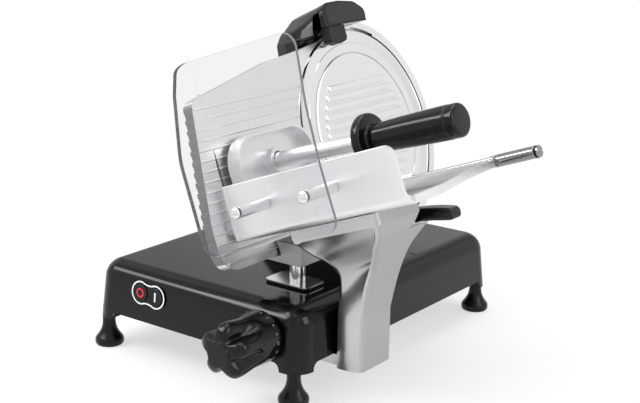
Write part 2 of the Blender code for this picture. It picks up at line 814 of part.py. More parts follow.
def motor():
    low = pulley_span()[1]
    front = low - 0.006
    outline = rounded(
        [(-0.056, -0.030, 0.006), (-0.056, -MOTOR_DROP - 0.020, 0.010), (0.056, -MOTOR_DROP - 0.020, 0.010),
         (0.056, -0.030, 0.006)], 3,
    )
    flange = plate(outline, "x", front - MOTOR_PLATE, front, holes=(circle(0, -MOTOR_DROP, 0.016),))
    item = part("motor_plate", flange, steel(), CUT)
    posts = []
    for y in (-0.050, 0.050):
        for c in (-0.036, -0.088):
            posts.append(rod((front - 0.001, y, c), (-SUPPORT_BACK - CLEAR, y, c), 0.005, None, 8))
    join(item, together(*posts), name="_posts")
    face = front - MOTOR_PLATE - CLEAR
    r = MOTOR_RADIUS
    back = -HOUSING_LOW_DEPTH + HOUSING_WALL + MOTOR_ROOM
    profile = [
        (0, face - 0.030), (0.0072, face - 0.030), (0.0072, face), (0.026, face), (r - 0.002, face - 0.006),
        (r, face - 0.010), (r, back + 0.012), (r - 0.004, back + 0.004), (0.022, back), (0, back),
    ]
    centre = (0, 0, -MOTOR_DROP)
    body = part("motor", revolved(profile, "x", centre, 16), cast_aluminium(), CUT, centre)
    fins = []
    for i in range(3):
        a = face - 0.015 - i * 0.0150
        fins.append(revolved([(r + 0.01, a), (r + 0.01, a - 0.005), (r - 0.0025, a - 0.005), (r - 0.0025, a)], "x", centre, 16, True))
    cut(body, together(*fins), name="_grooves")


def housing_section(c, front, inset):
    """One level of the motor housing: flat towards the blade, rounded behind, as points in the cutting frame."""
    top = HOUSING_RADIUS - inset
    if c > 0:
        half = sqrt(max(top * top - c * c, 0.0)) + HOUSING_SIDE
    else:
        half = top + HOUSING_SIDE + c * HOUSING_NARROWING
    drop = min(max((HOUSING_RAMP_TOP - c) / HOUSING_RAMP, 0.0), 1.0)
    crown = max(c - top + 0.020, 0.0)
    depth = HOUSING_TOP_DEPTH + (HOUSING_LOW_DEPTH - HOUSING_TOP_DEPTH) * drop * drop * (3 - 2 * drop)
    depth -= inset + 0.020 - sqrt(0.020 ** 2 - crown ** 2)
    corner = min(0.018 - inset, half * 0.9)
    outline = rounded([(front, half, 0), (front, -half, 0), (-depth, -half, corner), (-depth, half, corner)], 3)
    return [(a, y, c) for a, y in outline]


def housing_skin(front, inset, low):
    top = HOUSING_RADIUS - inset
    levels = [low, -0.110]
    levels += [HOUSING_RAMP_TOP - HOUSING_RAMP * share for share in (1.0, 0.8, 0.6, 0.4, 0.2, 0.0)]
    levels += [0.020, 0.038, top - 0.014, top - 0.006, top - 0.0005]
    return loft([housing_section(c, front, inset) for c in levels])


def motor_housing():
    """A leaning shell behind the blade: shallow over the shaft, deeper below where the motor lies."""
    front = -SUPPORT_BACK - CLEAR
    item = part("motor_housing", housing_skin(front, 0.0, -0.180), black_paint(), CUT)
    cut(item, housing_skin(front + 0.01, HOUSING_WALL, -0.200), name="_inside")
    cut(item, block((-0.4, -0.3, -0.1), (0.3, 0.4, BASE_TOP + CLEAR)), ROOT, "_level")
    hole = rod((-0.2, 0, 0), (-0.05, 0, 0), TIE_ROD_RADIUS + RUN, None, 16)
    cut(item, hole, name="_hole")
    return item


def sharpener():
    """A black body over the top of the blade, with a finger and a stone on each side of the edge."""
    pivot = (0, 0, GUARD_OUTER)
    low = GUARD_OUTER + CLEAR + 0.0002
    top = 0.1605
    outline = [
        (-0.085, low, 0.002), (0.0450, low, 0.002), (0.0450, 0.146, 0.006), (0.030, top - 0.002, 0.014),
        (-0.020, top, 0.030), (-0.055, 0.156, 0.030), (-0.085, 0.148, 0.010),
    ]
    body = plate(rounded(outline, 4), "x", SKIRT_BACK, 0.0015)
    item = part("sharpener_body", body, black_plastic(), CUT, pivot)
    front = [
        (-0.060, 0.1315, 0.001), (0.0265, 0.1315, 0.003), (0.0270, 0.148, 0.010), (0.006, top - 0.003, 0.016),
        (-0.0198, top, 0.020), (-0.047, top - 0.0005, 0.012),
    ]
    join(item, plate(rounded(front, 4), "x", 0.0008, 0.020), name="_face")
    skirt = [(-0.080, 0.104, 0.004), (0.004, 0.104, 0.004), (0.004, low + 0.004, 0), (-0.080, low + 0.004, 0)]
    join(item, plate(rounded(skirt, 3), "x", SKIRT_BACK, -0.0318), name="_skirt")
    seat = SKIRT_BACK - STONE_PRESS - CLEAR
    cut(item, rod((-0.06, STONE_Y, STONE_C), (-0.02, STONE_Y, STONE_C), 0.0035, None, 16), name="_bore")
    cut(item, block((0.0012, -0.0700, 0.100), (0.0300, -0.0480, 0.1315)), name="_finger_room")
    finger_low = 0.1085
    finger = rounded(
        [(-0.050, 0.1312, 0.0), (-0.050, finger_low + 0.004, 0.006), (-0.034, finger_low, 0.02),
         (-0.018, finger_low + 0.004, 0.006), (-0.018, 0.1312, 0.0)], 4,
    )
    guard = part("sharpener_finger", plate(finger, "x", 0.0060, 0.0185), dark_metal(), CUT, pivot)
    guard.data.materials.clear()
    guard.data.materials.append(material("grey_plastic", (0.09, 0.09, 0.10), 0.4))
    stone = material("grinding_stone", (0.62, 0.55, 0.50), 0.9)
    profile = [
        (0, -0.0085), (0.0095, -0.0085), (0.0095, -0.0125), (0.003, -0.0125), (0.003, seat), (0.0072, seat),
        (0.0080, seat - 0.0010), (0.0080, seat - 0.0075), (0.0065, seat - 0.0095), (0, seat - 0.0095),
    ]
    part("grinding_stone", revolved(profile, "x", (0, STONE_Y, STONE_C), 14), stone, CUT, (0, STONE_Y, STONE_C))
    honing = rod((0.0024, -0.034, 0.1175), (0.0057, -0.034, 0.1175), 0.0070)
    part("honing_stone", honing, stone, CUT, pivot)




def gauge_outline(inset=0.0):
    """The gauge plate's edge, with its back concentric with the blade. An inset one ends before the narrow tip."""
    low = GAUGE_LOW + inset
    r = GAUGE_EDGE + inset
    end_y = -sqrt(r * r - low * low)
    end = atan2(low, end_y) + 2 * pi
    corners = [
        (end_y, low, 0), (GAUGE_FRONT + inset, low, 0.025), (GAUGE_FRONT + inset, 0.0790 - inset, 0.022),
        (-0.2404, 0.0922 - inset, 0.2), (-0.150, 0.1071 - inset, 0.2), (-0.0912, 0.1120 - inset, 0.0),
    ]
    start = radians(125)
    if inset == 0:
        corners += [(-0.0500, 0.1190, 0.03), (-0.0285, 0.1262, 0.0)]
        start = radians(100.5)
    return rounded(corners, 4) + arc(0, 0, r, start, end, 22)[:-1]


def gauge_plate():
    """A pan casting with a ribbed face: the ribs' crests lie in the blade plane."""
    face = -RIB_HEIGHT
    item = part("gauge_plate", plate(gauge_outline(), "x", -GAUGE_DEPTH, face), cast_aluminium(), CUT)
    pocket = plate(gauge_outline(0.0035), "x", -GAUGE_DEPTH - 0.01, face - GAUGE_FACE)
    cut(item, pocket, name="_pocket")
    ribs = []
    c = 0.0700
    half = RIB_WIDTH / 2
    while c > GAUGE_LOW + 0.006:
        left = GAUGE_FRONT + 0.001 + max(0.0, (-0.083 - c) * 0.55)
        right = -sqrt(GAUGE_EDGE ** 2 - c * c) - 0.001
        rib = block((face - 0.0004, left, c - half), (0.0, right, c + half))
        for vertex in rib.verts:
            if vertex.co.x > face:
                vertex.co.z = c + 0.35 * (vertex.co.z - c)
        ribs.append(rib)
        c -= RIB_PITCH
    join(item, together(*ribs), name="_ribs")
    return item


def leaning(a, c):
    """The x and z of a point given in front of and along the blade plane."""
    return (BLADE_X + a * cos(TILT) - c * sin(TILT), BLADE_Z + a * sin(TILT) + c * cos(TILT))


def gauge_bracket():
    """A dark casting that clamps the post and carries the plate from behind."""
    clamp = POST_RADIUS + CLEAR
    gap = 0.0006
    pad = -RIB_HEIGHT - GAUGE_FACE - CLEAR
    rim = -GAUGE_DEPTH - gap
    under = GAUGE_LOW - gap
    inner = GAUGE_LOW + 0.0035 + gap
    right = POST_X + 0.019
    outline = [
        (right, 0.1330), (right, 0.1580), leaning(gap, -0.0919), leaning(gap, under), leaning(rim, under), leaning(rim, inner),
        leaning(pad, inner), leaning(pad, -0.060), leaning(pad - 0.012, -0.057), leaning(rim - 0.014, inner + 0.004),
        (POST_X - 0.036, 0.1330),
    ]
    item = part("gauge_bracket", plate(outline, "y", POST_Y - 0.018, POST_Y + 0.018), dark_metal())
    cut(item, rod((POST_X, POST_Y, 0.12), (POST_X, POST_Y, POST_TOP + CLEAR), clamp), name="_bore")
    return item


def gauge_post():
    low = GAUGE_ROD_Z + 0.012
    profile = [
        (0, POST_TOP), (POST_RADIUS - 0.001, POST_TOP), (POST_RADIUS, POST_TOP - 0.001), (POST_RADIUS, low), (0, low),
    ]
    part("gauge_post", revolved(profile, "z", (POST_X, POST_Y, 0), 20), steel())
    r = POST_RADIUS + CLEAR
    half_x = TOP_PLATE_X / 2
    half_y = TOP_PLATE_Y / 2
    middle = POST_X - 0.004
    ring = circle(POST_X, POST_Y, r)

    def sheet(inset):
        return rounded(
            [(middle - half_x + inset, POST_Y - half_y + inset, 0.002), (middle + half_x - inset, POST_Y - half_y + inset, 0.002),
             (middle + half_x - inset, POST_Y + half_y - inset, 0.002), (middle - half_x + inset, POST_Y + half_y - inset, 0.002)],
            2,
        )

    seal = BASE_TOP + CLEAR
    plate_low = seal + 0.002 + CLEAR
    part("slot_gasket", plate(sheet(0.001), "z", seal, seal + 0.002, holes=(ring,)), rubber())
    part("slot_cover", plate(sheet(0.0), "z", plate_low, plate_low + 0.0015, holes=(ring,)), steel())


def gauge_slide():
    """The block that carries the post along its rod, with a pin that follows the cam's spiral groove."""
    low_x = POST_X - 0.018
    high_x = POST_X + 0.018
    item = part(
        "gauge_slide",
        rounded_block((low_x, POST_Y - 0.016, 0.0560), (high_x, POST_Y + 0.016, 0.0960), 0.002, 1),
        dark_metal(),
    )
    pin_x = KNOB_X - CAM_INNER
    arm = block((pin_x - 0.005, CAM_BACK + 0.0020, 0.0640), (pin_x + 0.005, POST_Y - 0.014, 0.0800))
    join(item, arm, name="_arm")
    pin = rod((pin_x, CAM_BACK - CAM_GROOVE + 0.0008, KNOB_Z), (pin_x, CAM_BACK + 0.0040, KNOB_Z), PIN_RADIUS, None, 16)
    join(item, pin, name="_pin")
    bore = GAUGE_ROD_RADIUS + CLEAR
    cut(item, rod((low_x - 0.01, POST_Y, GAUGE_ROD_Z), (high_x + 0.01, POST_Y, GAUGE_ROD_Z), bore), name="_rod")
    socket = rod((POST_X, POST_Y, GAUGE_ROD_Z + 0.012 - CLEAR), (POST_X, POST_Y, 0.12), POST_RADIUS + CLEAR)
    cut(item, socket, name="_socket")
    end = POST_X - 0.070
    guide = rod((end, POST_Y, GAUGE_ROD_Z), (POST_X + 0.0295, POST_Y, GAUGE_ROD_Z), GAUGE_ROD_RADIUS)
    part("gauge_rod", guide, steel())




def cam_groove():
    """A spiral band that opens by the plate's travel over the knob's turn."""
    half = PIN_RADIUS + 0.0005
    steps = 24
    before = radians(26)
    after = radians(12)
    rate = GAUGE_TRAVEL / KNOB_TURN
    sections = []
    for i in range(steps + 1):
        turn = -before + (KNOB_TURN + before + after) * i / steps
        r = CAM_INNER + rate * turn
        angle = pi + turn
        ring = []
        deep = CAM_BACK - CAM_GROOVE
        proud = CAM_BACK + 0.001
        for radius, y in ((r - half, deep), (r + half, deep), (r + half, proud), (r - half, proud)):
            ring.append((KNOB_X + radius * cos(angle), y, KNOB_Z + radius * sin(angle)))
        sections.append(ring)
    return loft(sections)


def knob():
    pivot = (KNOB_X, 0, KNOB_Z)
    wall = -(BASE_HALF_Y - BASE_TAPER_Y * (KNOB_Z - BASE_LOW) / (BASE_TOP - BASE_LOW))
    front = -(CAM_BACK - CAM_THICK)
    profile = [(0, front), (CAM_RADIUS, front), (CAM_RADIUS, -CAM_BACK), (0, -CAM_BACK)]
    cam = part("gauge_cam", revolved(profile, "y", pivot, 28), steel(), ROOT, pivot)
    cut(cam, cam_groove(), name="_groove")
    shaft_front = -KNOB_FACE_Y - 0.006
    seat = CAM_BACK - CAM_GROOVE - 0.0013
    cut(cam, rod((KNOB_X, seat, KNOB_Z), (KNOB_X, -BASE_HALF_Y, KNOB_Z), KNOB_SHAFT_RADIUS + CLEAR), name="_bore")
    shaft = rod((KNOB_X, seat - CLEAR, KNOB_Z), (KNOB_X, -shaft_front, KNOB_Z), KNOB_SHAFT_RADIUS)
    part("knob_shaft", shaft, steel(), ROOT, pivot)
    bush = [
        (0.0105, -wall + 0.0023), (0.0105, -wall + 0.0013), (0.0080, -wall + 0.0013), (0.0080, -wall - 0.0090),
        (KNOB_SHAFT_RADIUS + CLEAR, -wall - 0.0090), (KNOB_SHAFT_RADIUS + CLEAR, -wall + 0.0023),
    ]
    part("knob_bush", revolved(bush, "y", pivot, 16, True), material("brass", (0.78, 0.62, 0.30), 0.3, 1.0))
    skirt = -KNOB_FACE_Y - KNOB_HEAD
    base = -wall + 0.0030
    body = [
        (0, skirt + 0.002), (0.0195, skirt + 0.002), (0.0205, skirt - 0.010), (0.0240, base + 0.020), (0.0275, base + 0.010),
        (0.0295, base + 0.004), (0.0295, base), (0, base),
    ]
    item = part("thickness_knob", revolved(body, "y", pivot, 24), black_plastic(), ROOT, pivot)
    face = KNOB_FACE_Y
    for i in range(KNOB_LOBES):
        turn = 2 * pi * i / KNOB_LOBES + radians(18)
        x = KNOB_X + KNOB_LOBE_CENTRE * cos(turn)
        z = KNOB_Z + KNOB_LOBE_CENTRE * sin(turn)
        r = KNOB_LOBE_RADIUS
        lobe = [
            (0, -face - 0.001), (r - 0.0025, -face - 0.0015), (r - 0.0008, -face - 0.0035), (r, -face - 0.006),
            (r, skirt + 0.004), (r - 0.003, skirt - 0.002), (0, skirt - 0.004),
        ]
        join(item, revolved(lobe, "y", (x, 0, z), 8), name=f"_lobe{i}")
    hub = [
        (0, -face), (KNOB_HUB_RADIUS - 0.0006, -face), (KNOB_HUB_RADIUS, -face - 0.0006), (KNOB_HUB_RADIUS + 0.003, -face - 0.004),
        (KNOB_HUB_RADIUS + 0.003, skirt), (0, skirt),
    ]
    join(item, revolved(hub, "y", pivot, 16), name="_hub")
    cut(item, rod((KNOB_X, -0.1, KNOB_Z), (KNOB_X, -shaft_front - CLEAR, KNOB_Z), KNOB_SHAFT_RADIUS + CLEAR), name="_bore")


def column_section(left, right, back, dish=0.0, radius=0.006):
    """A level of the column: front corners left and right as (x, y, z), a back edge at y, a hollowed front."""
    x0, y0, z0 = left
    x1, y1, z1 = right
    width = sqrt((x1 - x0) ** 2 + (z1 - z0) ** 2)

    def place(u, y):
        share = u / width
        return (x0 + (x1 - x0) * share, y, z0 + (z1 - z0) * share)

    outline = rounded([(0, y0, radius), (0, back, radius), (width, back, radius), (width, y1, radius)], 3)
    points = [place(u, y) for u, y in outline]
    for share in (0.75, 0.5, 0.25):
        front = y0 + (y1 - y0) * share
        points.append(place(width * share, front + dish * (1 - (2 * share - 1) ** 2)))
    return points


def on_table(a, y, c):
    x, z = leaning(a, c)
    return (x, y, z)


def carriage_column():
    """The polished arm outside the base: narrow below, flaring forward and out into the head under the tray."""
    under = FLOOR_TOP - FLOOR_THICK - CLEAR
    back = COLUMN_BACK
    front = COLUMN_FRONT
    inner = COLUMN_IN
    lower = 0.092
    head_front = WALL_Y + 0.006
    low_left = (inner, front, COLUMN_LOW)
    low_right = (COLUMN_OUT, front + 0.0045, COLUMN_LOW)
    sections = [
        column_section(low_left, low_right, back, 0.001),
        column_section((inner, front, lower), (COLUMN_OUT, front + 0.0045, lower), back, 0.002),
        column_section((inner + 0.0015, front - 0.001, 0.1165), (inner + 0.041, front, 0.1300), back, 0.003),
        column_section((inner + 0.005, front - 0.010, 0.1400), (inner + 0.053, front - 0.006, 0.1640), back, 0.004),
        column_section((inner + 0.003, front - 0.027, 0.1570), (inner + 0.069, front - 0.027, 0.1890), back, 0.005),
        column_section((inner - 0.002, front - 0.045, 0.1690), (inner + 0.084, front - 0.045, 0.2080), back, 0.004),
    ]
    for c in (under - HEAD_DEPTH, under):
        sections.append(column_section(on_table(HEAD_LEFT, head_front, c), on_table(HEAD_RIGHT, head_front, c), back))
    item = part("carriage_column", loft(sections), cast_aluminium())
    floor = under - LEVER_ROOM
    notch = [(0.040, under + 0.02), (0.040, floor), (0.30, floor), (0.30, under + 0.02)]
    cut(item, plate(notch, "y", LEVER_Y - 0.0320, 0.0), TABLE, "_lever_room")
    arm_low = (GUIDE_X - 0.0185, SLIDER_Y - 0.023, COLUMN_LOW + 0.001)
    arm = rounded_block(arm_low, (COLUMN_IN + 0.010, SLIDER_Y + 0.023, ARM_TOP), 0.002, 1)
    join(item, arm, name="_arm")
    pin = rod((LEVER_A, LEVER_Y, floor - LEVER_PIN_DEPTH - CLEAR), (LEVER_A, LEVER_Y, floor + 0.01), LEVER_PIN_RADIUS + CLEAR)
    cut(item, pin, TABLE, "_pin_hole")
    return item


def carriage_slider():
    low = ARM_TOP + CLEAR
    half = SLIDER_LENGTH / 2
    item = part(
        "carriage_slider",
        rounded_block((GUIDE_X - 0.0130, SLIDER_Y - half, low), (GUIDE_X + 0.0110, SLIDER_Y + half, 0.0840), 0.002, 1),
        dark_metal(),
    )
    bore = GUIDE_RADIUS + BUSH_THICK + 2 * CLEAR
    cut(item, rod((GUIDE_X, SLIDER_Y - half - 0.01, GUIDE_Z), (GUIDE_X, SLIDER_Y + half + 0.01, GUIDE_Z), bore, None, 32), name="_bore")
    brass = material("brass", (0.78, 0.62, 0.30), 0.3, 1.0)
    inner = GUIDE_RADIUS + CLEAR
    bush = [(bore - CLEAR, half + 0.001), (bore - CLEAR, -half - 0.001), (inner, -half - 0.001), (inner, half + 0.001)]
    part("slider_bush", revolved(bush, "y", (GUIDE_X, SLIDER_Y, GUIDE_Z), 20, True), brass)
    part("carriage_guide", rod((GUIDE_X, -GUIDE_END, GUIDE_Z), (GUIDE_X, GUIDE_END, GUIDE_Z), GUIDE_RADIUS), steel())


def lever():
    """A black handle under the tray that droops outward from its pin."""
    under = FLOOR_TOP - FLOOR_THICK - CLEAR
    top = under - 0.012
    levels = [
        (LEVER_A - 0.011, 0.0070, top - 0.001, top - 0.0105), (LEVER_A - 0.008, 0.0090, top, top - 0.0115),
        (LEVER_A + 0.012, 0.0090, top, top - 0.0115), (LEVER_A + 0.040, 0.0085, top - 0.0050, top - 0.0150),
        (0.2080, 0.0085, top - 0.0125, top - 0.0205), (0.2120, 0.0070, top - 0.0140, top - 0.0195),
    ]
    sections = []
    for a, half, high, low in levels:
        outline = rounded([(-half, low, 0.003), (half, low, 0.003), (half, high, 0.003), (-half, high, 0.003)], 3)
        sections.append([(a, LEVER_Y + y, c) for y, c in outline])
    pivot = (LEVER_A, LEVER_Y, under)
    item = part("release_lever", loft(sections), black_plastic(), TABLE, pivot)
    bore = rod((LEVER_A, LEVER_Y, top - 0.03), (LEVER_A, LEVER_Y, top + 0.01), LEVER_PIN_RADIUS + CLEAR)
    cut(item, bore, TABLE, "_bore")
    deep = under - LEVER_ROOM - LEVER_PIN_DEPTH
    r = LEVER_PIN_RADIUS
    head = [(0, top + 0.003), (r + 0.0025, top + 0.003), (r + 0.0025, top + CLEAR), (r, top + CLEAR), (r, deep), (0, deep)]
    part("lever_pin", revolved(head, "z", (LEVER_A, LEVER_Y, 0), 16), steel(), TABLE)


def tray():
    """Front wall and floor of one casting, drawn as an L and cut to its outlines."""
    under = FLOOR_TOP - FLOOR_THICK
    inner = WALL_Y + WALL_THICK
    section = rounded(
        [(WALL_Y, WALL_TOP, 0.001), (WALL_Y, under, 0.009), (TRAY_BACK, under, 0.002), (TRAY_BACK, FLOOR_TOP + 0.0030, 0.001),
         (TRAY_BACK - 0.003, FLOOR_TOP + 0.0030, 0.001), (TRAY_BACK - 0.003, FLOOR_TOP, 0.0), (inner, FLOOR_TOP, 0.006),
         (inner, WALL_TOP, 0.001)], 5,
    )
    item = part("tray", plate(section, "x", TRAY_LEFT, TRAY_RIGHT), anodised(), TABLE)
    radius = 0.012
    centre = (WALL_RIGHT - radius, WALL_TOP - radius)
    removed = (
        [(0.32, WALL_TOP + 0.02), (WALL_RIGHT - radius, WALL_TOP + 0.02)]
        + arc(*centre, radius, pi / 2, 0, 5)
        + [(0.2380, -0.0580), (0.2430, -0.0645), (0.2500, FLOOR_TOP + 0.0045), (0.32, FLOOR_TOP + 0.0045)]
    )
    cut(item, plate(removed, "y", WALL_Y - 0.02, inner + 0.0065), TABLE, "_wall_end")
    slant = [(0.32, -0.178), (TRAY_RIGHT, -0.178), (TRAY_BACK_RIGHT, TRAY_BACK + 0.01), (0.32, TRAY_BACK + 0.01)]
    corner = [(0.32, WALL_Y - 0.01), (TRAY_RIGHT - 0.004, WALL_Y - 0.01), (TRAY_RIGHT - 0.001, WALL_Y + 0.010), (0.32, WALL_Y + 0.010)]
    cut(
        item,
        together(plate(slant, "z", under - 0.01, 0.02), plate(corner, "z", under - 0.01, 0.02)),
        TABLE, "_slant",
    )
    return item


def clear_guard():
    """A bent clear sheet on two standoffs, in front of the tray's wall."""
    lean = radians(45)
    dx = GUARD_FLANGE * cos(lean)
    dy = GUARD_FLANGE * sin(lean)
    t = GUARD_THICK
    front = GUARD_Y
    bend = rounded(
        [(GUARD_LEFT - dx, front - dy, 0.0), (GUARD_LEFT, front, 0.0025), (GUARD_RIGHT, front, 0.0), (GUARD_RIGHT, front + t, 0.0),
         (GUARD_LEFT - t * tan(lean / 2), front + t, 0.0060), (GUARD_LEFT - dx - t * sin(lean), front - dy + t * cos(lean), 0.0)], 4,
    )
    item = part("clear_guard", plate(bend, "z", GUARD_LOW, GUARD_TOP), clear_plastic(), TABLE)
    left = GUARD_LEFT - dx - t
    outline = rounded(
        [(left, GUARD_LOW, 0.016), (GUARD_RIGHT + 0.0001, GUARD_LOW, 0.013), (GUARD_RIGHT + 0.0001, GUARD_TOP, 0.014), (left, GUARD_TOP, 0.026)], 6,
    )
    step = tool("clear_guard_outline", plate(outline, "y", front - dy - 0.02, front + 0.02), TABLE)
    trim = item.modifiers.new("corners", "BOOLEAN")
    trim.operation = "INTERSECT"
    trim.object = step
    holes = [rod((a, front - 0.02, STANDOFF_C), (a, front + 0.02, STANDOFF_C), 0.0030, None, 16) for a in STANDOFFS]
    cut(item, together(*holes), TABLE, "_holes")
    for name, a in zip(("left", "right"), STANDOFFS):
        high = front + t + CLEAR
        low = WALL_Y - CLEAR
        profile = [
            (0, -high - 0.0070), (0.0027, -high - 0.0070), (0.0027, -high), (STANDOFF_RADIUS, -high), (STANDOFF_RADIUS, -low), (0, -low),
        ]
        part(f"standoff_{name}", revolved(profile, "y", (a, 0, STANDOFF_C), 16), steel(), TABLE)
        head = -front
        screw = [
            (0, head + 0.0045), (0.0035, head + 0.0042), (0.0055, head + 0.0030), (STANDOFF_RADIUS, head + 0.0012),
            (STANDOFF_RADIUS, head + CLEAR), (0.0024, head + CLEAR), (0.0024, -high - 0.0065), (0, -high - 0.0065),
        ]
        item = part(f"guard_screw_{name}", revolved(screw, "y", (a, 0, STANDOFF_C), 16), steel(), TABLE)
        slot = block((a - 0.010, -head - 0.0060, STANDOFF_C - 0.0007), (a + 0.010, -head - 0.0030, STANDOFF_C + 0.0007))
        cut(item, slot, TABLE, "_slot")


def pusher_rail():
    """The rod along the tray's back edge, in two lugs, with a rubber ring and an end screw."""
    start = TRAY_LEFT + 0.0005
    r = ROD_RADIUS
    part("pusher_rod", rod((start, ROD_Y, ROD_C), (ROD_END - 0.006, ROD_Y, ROD_C), r), steel(), TABLE)
    ring = [(r + 0.0008, ROD_END - 0.0025), (r + 0.0008, ROD_END - 0.0057), (0.0030, ROD_END - 0.0057), (0.0030, ROD_END - 0.0025)]
    part("rod_ring", revolved(ring, "x", (0, ROD_Y, ROD_C), 16, True), rubber(), TABLE)


def pusher():
    pivot = (0, ROD_Y, ROD_C)
    low = FLOOR_TOP + 0.0025
    left = PUSHER_Y - PUSHER_HALF
    right = PUSHER_Y + PUSHER_HALF
    outline = [(left, low, 0.006), (right, low, 0.006), (right, PUSHER_TOP, 0.034), (left, PUSHER_TOP, 0.034)]
    inset = 0.0035
    inner = [
        (left + inset, low + inset, 0.004), (right - inset, low + inset, 0.004), (right - inset, PUSHER_TOP - inset, 0.030),
        (left + inset, PUSHER_TOP - inset, 0.030),
    ]
    item = part(
        "pusher_plate", plate(rounded(outline, 4), "x", TRAY_LEFT, TRAY_LEFT + PUSHER_DEPTH), anodised(), TABLE, pivot
    )
    cut(item, plate(rounded(inner, 4), "x", TRAY_LEFT + PAN_FLOOR, TRAY_LEFT + PUSHER_DEPTH + 0.01), TABLE, "_pan")
    reach = TRAY_LEFT + 0.0030
    boss = rod((reach, PUSHER_Y, PUSHER_C), (TRAY_LEFT + PUSHER_DEPTH, PUSHER_Y, PUSHER_C), 0.014)
    join(item, boss, TABLE, "_boss")
    bore = rod(
        (TRAY_LEFT + 0.008, PUSHER_Y, PUSHER_C), (TRAY_LEFT + 0.04, PUSHER_Y, PUSHER_C), PUSHER_TUBE_RADIUS + CLEAR, None, 24
    )
    cut(item, bore, TABLE, "_bore")
    hub = ROD_RADIUS + 0.0045
    high = TRAY_LEFT + SLEEVE_END
    outer = hub + 0.001
    arm = [(right - 0.004, ROD_C + 0.0275), (ROD_Y + 0.004, ROD_C + 0.0275), (ROD_Y + 0.008, ROD_C + 0.0235)]
    arm += arc(ROD_Y, ROD_C, outer, 0.0, -pi, 8)
    arm += [(ROD_Y - 0.0085, ROD_C + 0.0155), (right - 0.004, ROD_C + 0.0155)]
    join(item, plate(arm, "x", TRAY_LEFT + LUG_LEFT + 0.0005, TRAY_LEFT + PUSHER_DEPTH - 0.0025), TABLE, "_arm")
    through = rod((TRAY_LEFT - 0.01, ROD_Y, ROD_C), (TRAY_LEFT + 0.05, ROD_Y, ROD_C), ROD_RADIUS + CLEAR)
    cut(item, through, TABLE, "_rod")
    sleeve_low = TRAY_LEFT + PUSHER_DEPTH - 0.0025 + CLEAR
    tube = [(hub, high), (hub, sleeve_low), (ROD_RADIUS + CLEAR, sleeve_low), (ROD_RADIUS + CLEAR, high)]
    part("pusher_sleeve", revolved(tube, "x", (0, ROD_Y, ROD_C), 16, True), anodised(), TABLE, pivot)
    start = TRAY_LEFT + 0.008 + CLEAR
    r = PUSHER_TUBE_RADIUS
    stem = [(r, TUBE_OUT), (r, start), (r - 0.0015, start), (r - 0.0015, TUBE_OUT)]
    part("pusher_tube", revolved(stem, "x", (0, PUSHER_Y, PUSHER_C), 20, True), anodised(), TABLE, pivot)
    g = GRIP_RADIUS
    t0 = TUBE_OUT + CLEAR
    handle = [
        (0, 0.2790), (g - 0.002, 0.2790), (g + 0.0005, 0.2765), (g + 0.0018, 0.2720), (g + 0.0018, 0.2650), (g + 0.0008, 0.2640),
        (g - 0.0006, 0.1850), (g - 0.0040, 0.1790), (0.0125, 0.1740), (0.0125, t0 + 0.0065), (0.0150, t0 + 0.0055), (0.0210, t0 + 0.0045),
        (0.0215, t0 + 0.0030), (0.0210, t0), (0, t0),
    ]
    part("pusher_handle", revolved(handle, "x", (0, PUSHER_Y, PUSHER_C), 16), black_plastic(), TABLE, pivot)


def rod_lugs():
    """Lugs below the tray's back edge that hold the pusher's rod."""
    lugs = []
    for low, high in ((TRAY_LEFT, TRAY_LEFT + LUG_LEFT), (LUG_RIGHT, LUG_RIGHT + 0.012)):
        shape = rounded(
            [(TRAY_BACK - 0.004, FLOOR_TOP - FLOOR_THICK + 0.001, 0.0), (ROD_Y - 0.002, ROD_C - ROD_RADIUS - 0.0035, 0.003),
             (ROD_Y + 0.008, ROD_C - ROD_RADIUS - 0.0035, 0.006), (ROD_Y + 0.0095, ROD_C + 0.003, 0.006),
             (ROD_Y, ROD_C + ROD_RADIUS + 0.0030, 0.005), (TRAY_BACK - 0.004, FLOOR_TOP - 0.0005, 0.0)], 3,
        )
        lugs.append(plate(shape, "x", low, high))
    tray_item = bpy.data.objects["tray"]
    join(tray_item, together(*lugs), TABLE, "_lugs")
    bore = rod((0.0, ROD_Y, ROD_C), (0.30, ROD_Y, ROD_C), ROD_RADIUS + CLEAR)
    cut(tray_item, bore, TABLE, "_lug_bore")


def centre_on_base():
    """Put the origin under the middle of the whole object's box."""
    bpy.context.view_layer.update()
    graph = bpy.context.evaluated_depsgraph_get()
    low = Vector((9, 9, 9))
    high = Vector((-9, -9, -9))
    for item in PARTS.objects:
        if item.type != "MESH":
            continue
        shaped = item.evaluated_get(graph)
        for vertex in shaped.data.vertices:
            place = shaped.matrix_world @ vertex.co
            for k in range(3):
                low[k] = min(low[k], place[k])
                high[k] = max(high[k], place[k])
    ROOT.location = (-(low.x + high.x) / 2, -(low.y + high.y) / 2, -low.z)
    bpy.context.view_layer.update()
    print("size", [round(b - a, 4) for a, b in zip(low, high)], "shift", [round(v, 5) for v in ROOT.location])


clear_scene()
PARTS = new_collection("food_slicer")
CUTTERS = new_collection("cutters")
ROOT = empty("slicer")
CUT = empty("cutting_plane", ROOT, (BLADE_X, BLADE_Y, BLADE_Z), (0, -TILT, 0))
TABLE = empty("table_plane", ROOT, (BLADE_X, 0, BLADE_Z), (0, -TILT, 0))
WALL = empty("front_wall", ROOT, (0, -BASE_HALF_Y, BASE_LOW), (-atan2(BASE_TAPER_Y, BASE_TOP - BASE_LOW), 0, 0))
bpy.context.view_layer.update()

base_housing()
bottom_cover()
feet()
switch()
electrics()
blade_support()
bearings()
blade_shaft()
blade()
blade_cover()
tie_rod()
pulleys()
drive_belt()
motor()
motor_housing()
sharpener()
gauge_plate()
gauge_bracket()
gauge_post()
gauge_slide()
knob()
carriage_column()
carriage_slider()
lever()
tray()
rod_lugs()
clear_guard()
pusher_rail()
pusher()
centre_on_base()
